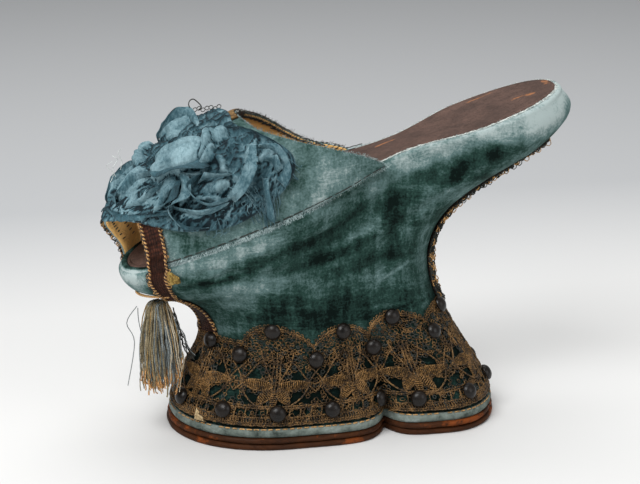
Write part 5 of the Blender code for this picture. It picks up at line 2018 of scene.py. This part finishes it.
def ribbon_points(rows, seed):
    """A gathered ribbon between two edge curves, ruffled more towards its free edge."""
    near = smooth_path([row[:3] for row in rows], 24)
    far = smooth_path([row[3:] for row in rows], 24)
    length = len(near) - 1
    laid = [Vector((row[0], row[1] * VAMP_GIRTH)) for row in rows]
    waves = sum((b - a).length for a, b in zip(laid, laid[1:])) / 9.0

    def ruffle(a, b, shift):
        return noise.noise(Vector((a, b, seed + shift)))

    points = []
    for a in np.linspace(0.0, 1.0, 120):
        place = a * length
        k = min(int(place), length - 1)
        one = near[k].lerp(near[k + 1], place - k)
        two = far[k].lerp(far[k + 1], place - k)
        line = []
        for b in np.linspace(0.0, 1.0, 16):
            at = one.lerp(two, b)
            gather = 1.6 * ruffle(a * waves, 0.4 * b, 0.0)
            sway = 1.6 * ruffle(a * waves, 0.4 * b, 9.0)
            curl = 1.3 * math.sin(math.pi * b)
            crumple = 0.8 * ruffle(a * waves * 3.0, b * 2.0, 4.0)
            pleat = 1.4 * (0.3 - abs(ruffle(a * waves * 1.4, b * 0.8, 2.0)))
            lift = at.z + curl + 0.9 * gather * (0.3 + b) + crumple + pleat * (1.0 - 0.5 * b)
            lift = blend(3.0, lift, math.sin(math.pi * a) ** 0.35)
            across = clamp(at.y + 0.02 * gather * b, -0.99, 0.99)
            line.append(on_vamp(at.x + 1.2 * sway * b, across, lift))
        points.append(line)
    return np.array(points)


def flat_size(points):
    """The width and length in metres that a gathered ribbon was cut to, from its grid."""
    ahead = np.linalg.norm(np.diff(points, axis=0), axis=2)
    aside = np.linalg.norm(np.diff(points, axis=1), axis=2)
    return float(aside.sum(axis=1).mean()) * MM, float(ahead.sum(axis=0).mean()) * MM


def ribbon_dips(points):
    """How far each point of a ribbon stands out of the points around it, as -1 to 1."""
    soft = points.copy()
    for _ in range(6):
        soft[1:-1] = (soft[:-2] + 2 * soft[1:-1] + soft[2:]) / 4
    out = np.einsum("ijk,ijk->ij", points - soft, Skin(points).normals)
    return np.clip(out / 0.35, -1.0, 1.0)


def thickened(points, thick):
    """Closed sections of a sheet of cloth: its face and its back."""
    skin = Skin(points)
    upper = points + skin.normals * thick / 2
    lower = points - skin.normals * thick / 2
    return np.concatenate((upper, lower[::-1]))


# Where the silk has frayed into threads. Columns: station, across, the way they trail
# along and down, and how many.
FRAYS = (
    (-46, -0.72, 3, -0.1, 26),
    (-38, -0.76, 2.5, -0.14, 30),
    (-33, -0.8, 1, -0.14, 22),
    (-54, -0.82, -2, -0.08, 14),
    (-26, -0.7, 4, -0.06, 10),
    (-84, 0.1, -3, 0.05, 6),
)
# The bent wire on top, along and up from its foot.
WIRE_LOOP = (
    (0, -1), (-2, 2.4), (-1.6, 4.6), (0.2, 5.3), (2.4, 3.6), (4.2, 1.2), (2.6, -0.2),
)


class CHOPINE_OT_rosette(bpy.types.Operator):
    """Heaps the gathered silk ribbons of the rosette on the vamp"""

    bl_idname = "chopine.rosette"
    bl_label = "Silk rosette"

    def execute(self, context):
        look = context.scene.chopine.silk
        silk = silk_finish("faded_silk", tuple(look.deep), tuple(look.light), tuple(look.worn))
        points, heap_light_and_shade = heap_points()
        nap = heap_light_and_shade + 0.12 * soft_noise(points, 7.0, 3.0)
        heap = add_tube("rosette_heap", points, silk, "blue_silk", ["silk_rosette"], nap=nap)
        for k, rows in enumerate(RIBBONS):
            points = ribbon_points(rows, 3.0 * k)
            solid = thickened(points, 0.26)
            dips = ribbon_dips(points)
            nap = 0.12 * soft_noise(solid, 6.0, float(k))
            # painted light on each ribbon: paler where it stands out, painted shade in its dips
            # and on its back face
            nap += 0.28 * np.concatenate((dips, dips[::-1]))
            nap[len(points):] -= 0.2
            ribbon = add_tube(f"rosette_ribbon_{k + 1}", solid, silk, "blue_silk", nap=nap)
            wide, long = flat_size(points)
            max(wide, 0.01)
        add_cords("rosette_frays", self.frays(), [silk, thread("worn_fibre")])
        add_cords("rosette_wire", self.wire(), threads("black_thread"))
        return {"FINISHED"}

    def frays(self):
        """Threads that trail from the silk, and three pale ones that stand up."""
        rng = random.Random(61)
        runs = []
        for x, across, ahead, down, count in FRAYS:
            for _ in range(count):
                x0, a0 = x + rng.uniform(-4, 4), across + rng.uniform(-0.05, 0.05)
                lift = rng.uniform(3.0, 6.0)
                bend = rng.uniform(-3.0, 3.0)
                path = []
                for step in np.linspace(0.0, 1.0, 7):
                    xx = x0 + ahead * step * 1.5 + bend * math.sin(2.6 * step)
                    aa = a0 + down * step + 0.02 * math.sin(5.0 * step + bend)
                    path.append(on_vamp(xx, clamp(aa, -0.99, 0.99), blend(lift, 1.2, step)))
                runs.append(Run(path, rng.uniform(0.12, 0.26)))
        for x, sway in ((-93.0, 1.5), (-90.5, -1.2), (-88.0, 0.8)):
            foot = on_vamp(x, 0.0, 9.0)
            bends = ((0.0, 0.0), (sway, 4.0), (-sway, 8.0), (sway, 10.0))
            path = [foot + Vector((aside, 0, up)) for aside, up in bends]
            runs.append(Run(smooth_path(path, 4), 0.13, 1))
        return runs

    def wire(self):
        """A bent pin's loop and links of dark wire at the top of the bow."""
        base = on_vamp(-56.0, 0.1, 8.0)
        points = [base + Vector((x, 0.3 * x, z)) for x, z in WIRE_LOOP]
        runs = [Run(smooth_path(points, 4), 0.28)]
        along, up = Vector((1, 0, 0.2)), Vector((0, 0.5, 0.8))
        for k in range(7):
            rise = 0.1 + 0.5 * math.sin(k * 2.2) + 0.12 * k
            link = ring_of(base + Vector((1.0 + 1.9 * k, 0.6, rise)), along, up, 1.0)
            runs.append(Run(link, 0.22, 0, True))
        return runs


TASSEL_TOP = Vector((-80.0, -7.5, 60.3))
TASSEL_HEAD = 3.616
TASSEL_WRAPS = 7
TASSEL_SEED = 80
TASSEL_FOOT = Vector((-79.5, -13.5, 26.0))
TASSEL_LOCKS = 22
# Loose threads beside the tassel.
STRAYS = (
    ((-90, -7.5, 63), (-95, -7.5, 55), (-91.6, -7.5, 45), (-95.4, -7.5, 23.4)),
    ((-89.5, -7, 62), (-89.2, -7, 55), (-86.8, -7, 42), (-86.3, -7, 34)),
    ((-74, -9, 56), (-68, -9, 48), (-67, -9, 42), (-63, -10, 37)),
)


class CHOPINE_OT_tassel(bpy.types.Operator):
    """Hangs the tassel of silk and gilt threads at the toe"""

    bl_idname = "chopine.tassel"
    bl_label = "Tassel"

    def execute(self, context):
        rng = random.Random(TASSEL_SEED)
        # vector noise starts from the clock unless its seed is set
        noise.seed_set(TASSEL_SEED)
        runs = self.fringe(context.scene.chopine.tassel.threads, rng)
        for k in range(9):
            start = Vector((rng.uniform(-76, -72), rng.uniform(-11, -6), 60.5))
            end = Vector((rng.uniform(-67, -63), rng.uniform(-11, -7), 35.0))
            path = []
            for step in np.linspace(0.0, 1.0, 16):
                curl = noise.noise_vector(Vector((9.0 * step, 3.0 * k, 7.0)))
                sag = Vector((0.0, 0.0, -5.0 * step * (1 - step)))
                path.append(blend(start, end, step) + sag + curl * 1.3)
            runs.append(Run(path, 0.2, 5))
        runs += [Run(smooth_path(path, 5), 0.2, 2) for path in STRAYS]
        finishes = threads(
            "tassel_gold", "tassel_cream", "tassel_grey", "tassel_olive", "tassel_ends",
            "black_thread")
        add_cords("tassel_threads", runs, finishes, ["tassel_skirt"])
        wraps = []
        for k in range(TASSEL_WRAPS):
            centre = TASSEL_TOP + Vector((0, 0, 0.2 + k * 0.5))
            reach = TASSEL_HEAD - 0.05 * (k - 3) ** 2
            ring = ring_of(centre, Vector((1, 0, 0)), Vector((0, 1, 0)), reach, 36)
            wraps.append(Run(ring, 0.36, 0, True))
        add_cords(
            "tassel_head_wraps", wraps, threads("gilt_thread"), ["tassel_head"])
        return {"FINISHED"}

    def locks(self, rng):
        """The locks that the threads cling in: turn, place out, tone and how short."""
        locks = []
        for k in range(TASSEL_LOCKS):
            turn = 2 * math.pi * (k + rng.uniform(-0.4, 0.4)) * 0.382
            reach = math.sqrt((k + 0.5) / TASSEL_LOCKS)
            tone = 0.75 * math.cos(turn) * reach + rng.uniform(-0.8, 0.8)
            locks.append((turn, reach, tone, rng.uniform(-3.5, 5.5)))
        return locks

    def fringe(self, count, rng):
        """The hanging threads, each cut off in a brighter end."""
        locks = self.locks(rng)
        runs = []
        for k in range(count):
            turn, deep, tone, short = locks[k % TASSEL_LOCKS]
            turn += rng.uniform(-0.5, 0.5)
            deep = clamp(deep + rng.uniform(-0.25, 0.25), 0.0, 1.05)
            out = Vector((math.cos(turn), math.sin(turn), 0.0))
            tie = TASSEL_TOP + out * 3.0 * deep
            tie += Vector((rng.uniform(-0.5, 2.0), 0, rng.uniform(3.8, 4.8)))
            top = TASSEL_TOP + out * (1.6 + 4.0 * deep) + Vector((0, 0, rng.uniform(0.2, 1.6)))
            spread = rng.uniform(5.0, 11.5) * (0.35 + 0.65 * deep)
            foot = TASSEL_FOOT + out * spread + Vector((0, 0, short + rng.uniform(-2.2, 2.2)))
            sway = Vector((rng.uniform(-1, 1), rng.uniform(-1, 1), 0)) * 1.4
            belly = top.lerp(foot, 0.45) + out * 1.8 * deep + sway
            low = top.lerp(foot, 0.8) + out * 0.8 + sway * 0.5
            path = smooth_path([tie, top, belly, low, foot], 5)
            lock = Vector((turn * 1.5, deep, 0.0))
            for step, point in enumerate(path):
                crimp = 0.5 * noise.noise_vector(Vector((0.7 * step, 5.0 * k, 0.0)))
                crimp += 1.1 * noise.noise_vector(lock + Vector((0.0, 0.0, 0.22 * step)))
                point += crimp * min(1.0, step / 8.0)
            tone += rng.uniform(-0.3, 0.3)
            finish = 0 if tone > 0.3 else 1 if tone > -0.05 else 2 if tone > -0.75 else 3
            thick = rng.uniform(0.24, 0.38)
            cut = len(path) - rng.randint(2, 6)
            runs.append(Run(path[: cut + 1], thick, finish))
            runs.append(Run(path[cut:], thick, finish if rng.random() < 0.3 else 4))
        return runs


VIEW_TURN = -12.0
VIEW_RISE = 16.79
VIEW_TARGET = Vector((0.0, 0.0, 0.0868))
LENS = 99.16
SENSOR = 36.0


# Columns: the lamp's place in metres, its share of the key lamp's power, its size.
LAMPS = (
    ("key_lamp", (-0.6, -0.7, 1.2), 1.0, 0.8),
    ("fill_lamp", (0.9, -0.9, 0.6), 0.22, 0.8),
    ("top_lamp", (0.1, 0.4, 1.4), 0.62, 1.0),
    ("toe_lamp", (-0.128, -0.03, 0.104), 0.0005, 0.012),
)
SKY_LIGHT = 0.34


class CHOPINE_OT_stage(bpy.types.Operator):
    """Sets the pale floor, the backdrop, soft lamps and the camera"""

    bl_idname = "chopine.stage"
    bl_label = "Stage"

    def execute(self, context):
        look = context.scene.chopine.stage
        self.add_floor(tuple(look.floor), tuple(look.backdrop))
        for name, place, share, size in LAMPS:
            self.add_lamp(name, place, look.key * share, size)
        world = bpy.data.worlds.new("studio")
        world.use_nodes = True
        sky = world.node_tree.nodes["Background"].inputs
        sky["Color"].default_value = (1, 1, 1, 1)
        sky["Strength"].default_value = SKY_LIGHT
        context.scene.world = world
        turn, rise = math.radians(VIEW_TURN), math.radians(VIEW_RISE)
        level = math.cos(rise)
        back = Vector((math.sin(turn) * level, -math.cos(turn) * level, math.sin(rise)))
        data = bpy.data.cameras.new("camera")
        data.lens = LENS
        data.sensor_width = SENSOR
        camera = bpy.data.objects.new("camera", data)
        camera.location = VIEW_TARGET + back * look.distance
        camera.rotation_euler = back.to_track_quat("Z", "Y").to_euler()
        context.scene.collection.objects.link(camera)
        context.scene.camera = camera
        context.scene.view_settings.view_transform = "Standard"
        return {"FINISHED"}

    def add_floor(self, near, far):
        name = "stage_floor"
        bm = bmesh.new()
        bmesh.ops.create_grid(bm, x_segments=2, y_segments=2, size=4.0)
        mesh = bpy.data.meshes.new(name)
        bm.to_mesh(mesh)
        bm.free()
        # the floor is painted darker further back, as a painted fall-off of the lamps' light
        r = Recipe(name, Roughness=0.9)
        deep = r.node("ShaderNodeSeparateXYZ", {"Vector": r.place}).outputs["Y"]
        first, second = (
            tuple(blend(a, b, share) for a, b in zip(near, far)) for share in (0.12, 0.95)
        )
        stops = (0.03, near), (0.13, first), (0.3, second), (1.0, far)
        mesh.materials.append(r.give(Base_Color=r.ramp(r.spread(deep, 0.0, 1.3), *stops)))
        sheet = bpy.data.objects.new(name, mesh)
        bpy.context.scene.collection.objects.link(sheet)
        sheet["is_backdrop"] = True

    def add_lamp(self, name, place, power, size):
        data = bpy.data.lights.new(name, "AREA")
        data.energy = power
        data.size = size
        lamp = bpy.data.objects.new(name, data)
        lamp.location = place
        lamp.rotation_euler = (Vector(place) - VIEW_TARGET).to_track_quat("Z", "Y").to_euler()
        bpy.context.scene.collection.objects.link(lamp)


class ChopineSettings(bpy.types.PropertyGroup):
    """Everything that a user may change on the chopine."""

    velvet: PointerProperty(type=VelvetLook)
    leather: PointerProperty(type=LeatherLook)
    trim: PointerProperty(type=TrimLook)
    silk: PointerProperty(type=SilkLook)
    tassel: PointerProperty(type=TasselLook)
    stage: PointerProperty(type=StageLook)


class CHOPINE_PT_panel(bpy.types.Panel):
    """Lists the chopine's pieces and their settings"""

    bl_label = "Chopine"
    bl_idname = "CHOPINE_PT_panel"
    bl_space_type = "VIEW_3D"
    bl_region_type = "UI"
    bl_category = "Chopine"

    def draw(self, context):
        for operator in PIECES:
            self.layout.operator(operator.bl_idname)
        for part in ChopineSettings.__annotations__:
            group = getattr(context.scene.chopine, part)
            box = self.layout.box()
            for name in type(group).__annotations__:
                box.prop(group, name)


LOOKS = (VelvetLook, LeatherLook, TrimLook, SilkLook, TasselLook, StageLook, ChopineSettings)
PIECES = (
    CHOPINE_OT_platform,
    CHOPINE_OT_vamp,
    CHOPINE_OT_soles,
    CHOPINE_OT_tapes,
    CHOPINE_OT_lace,
    CHOPINE_OT_nails,
    CHOPINE_OT_rosette,
    CHOPINE_OT_tassel,
    CHOPINE_OT_stage,
)


def register():
    for kind in (*LOOKS, *PIECES, CHOPINE_PT_panel):
        bpy.utils.register_class(kind)
    bpy.types.Scene.chopine = PointerProperty(type=ChopineSettings)


def unregister():
    del bpy.types.Scene.chopine
    for kind in reversed((*LOOKS, *PIECES, CHOPINE_PT_panel)):
        bpy.utils.unregister_class(kind)


def main():
    register()
    for operator in PIECES:
        group, name = operator.bl_idname.split(".")
        getattr(getattr(bpy.ops, group), name)()
    boxes = {"cad": SOLID_BOX, "visual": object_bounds()}
    {name: [list(corner) for corner in box] for name, box in boxes.items()}


if __name__ == "__main__":
    main()
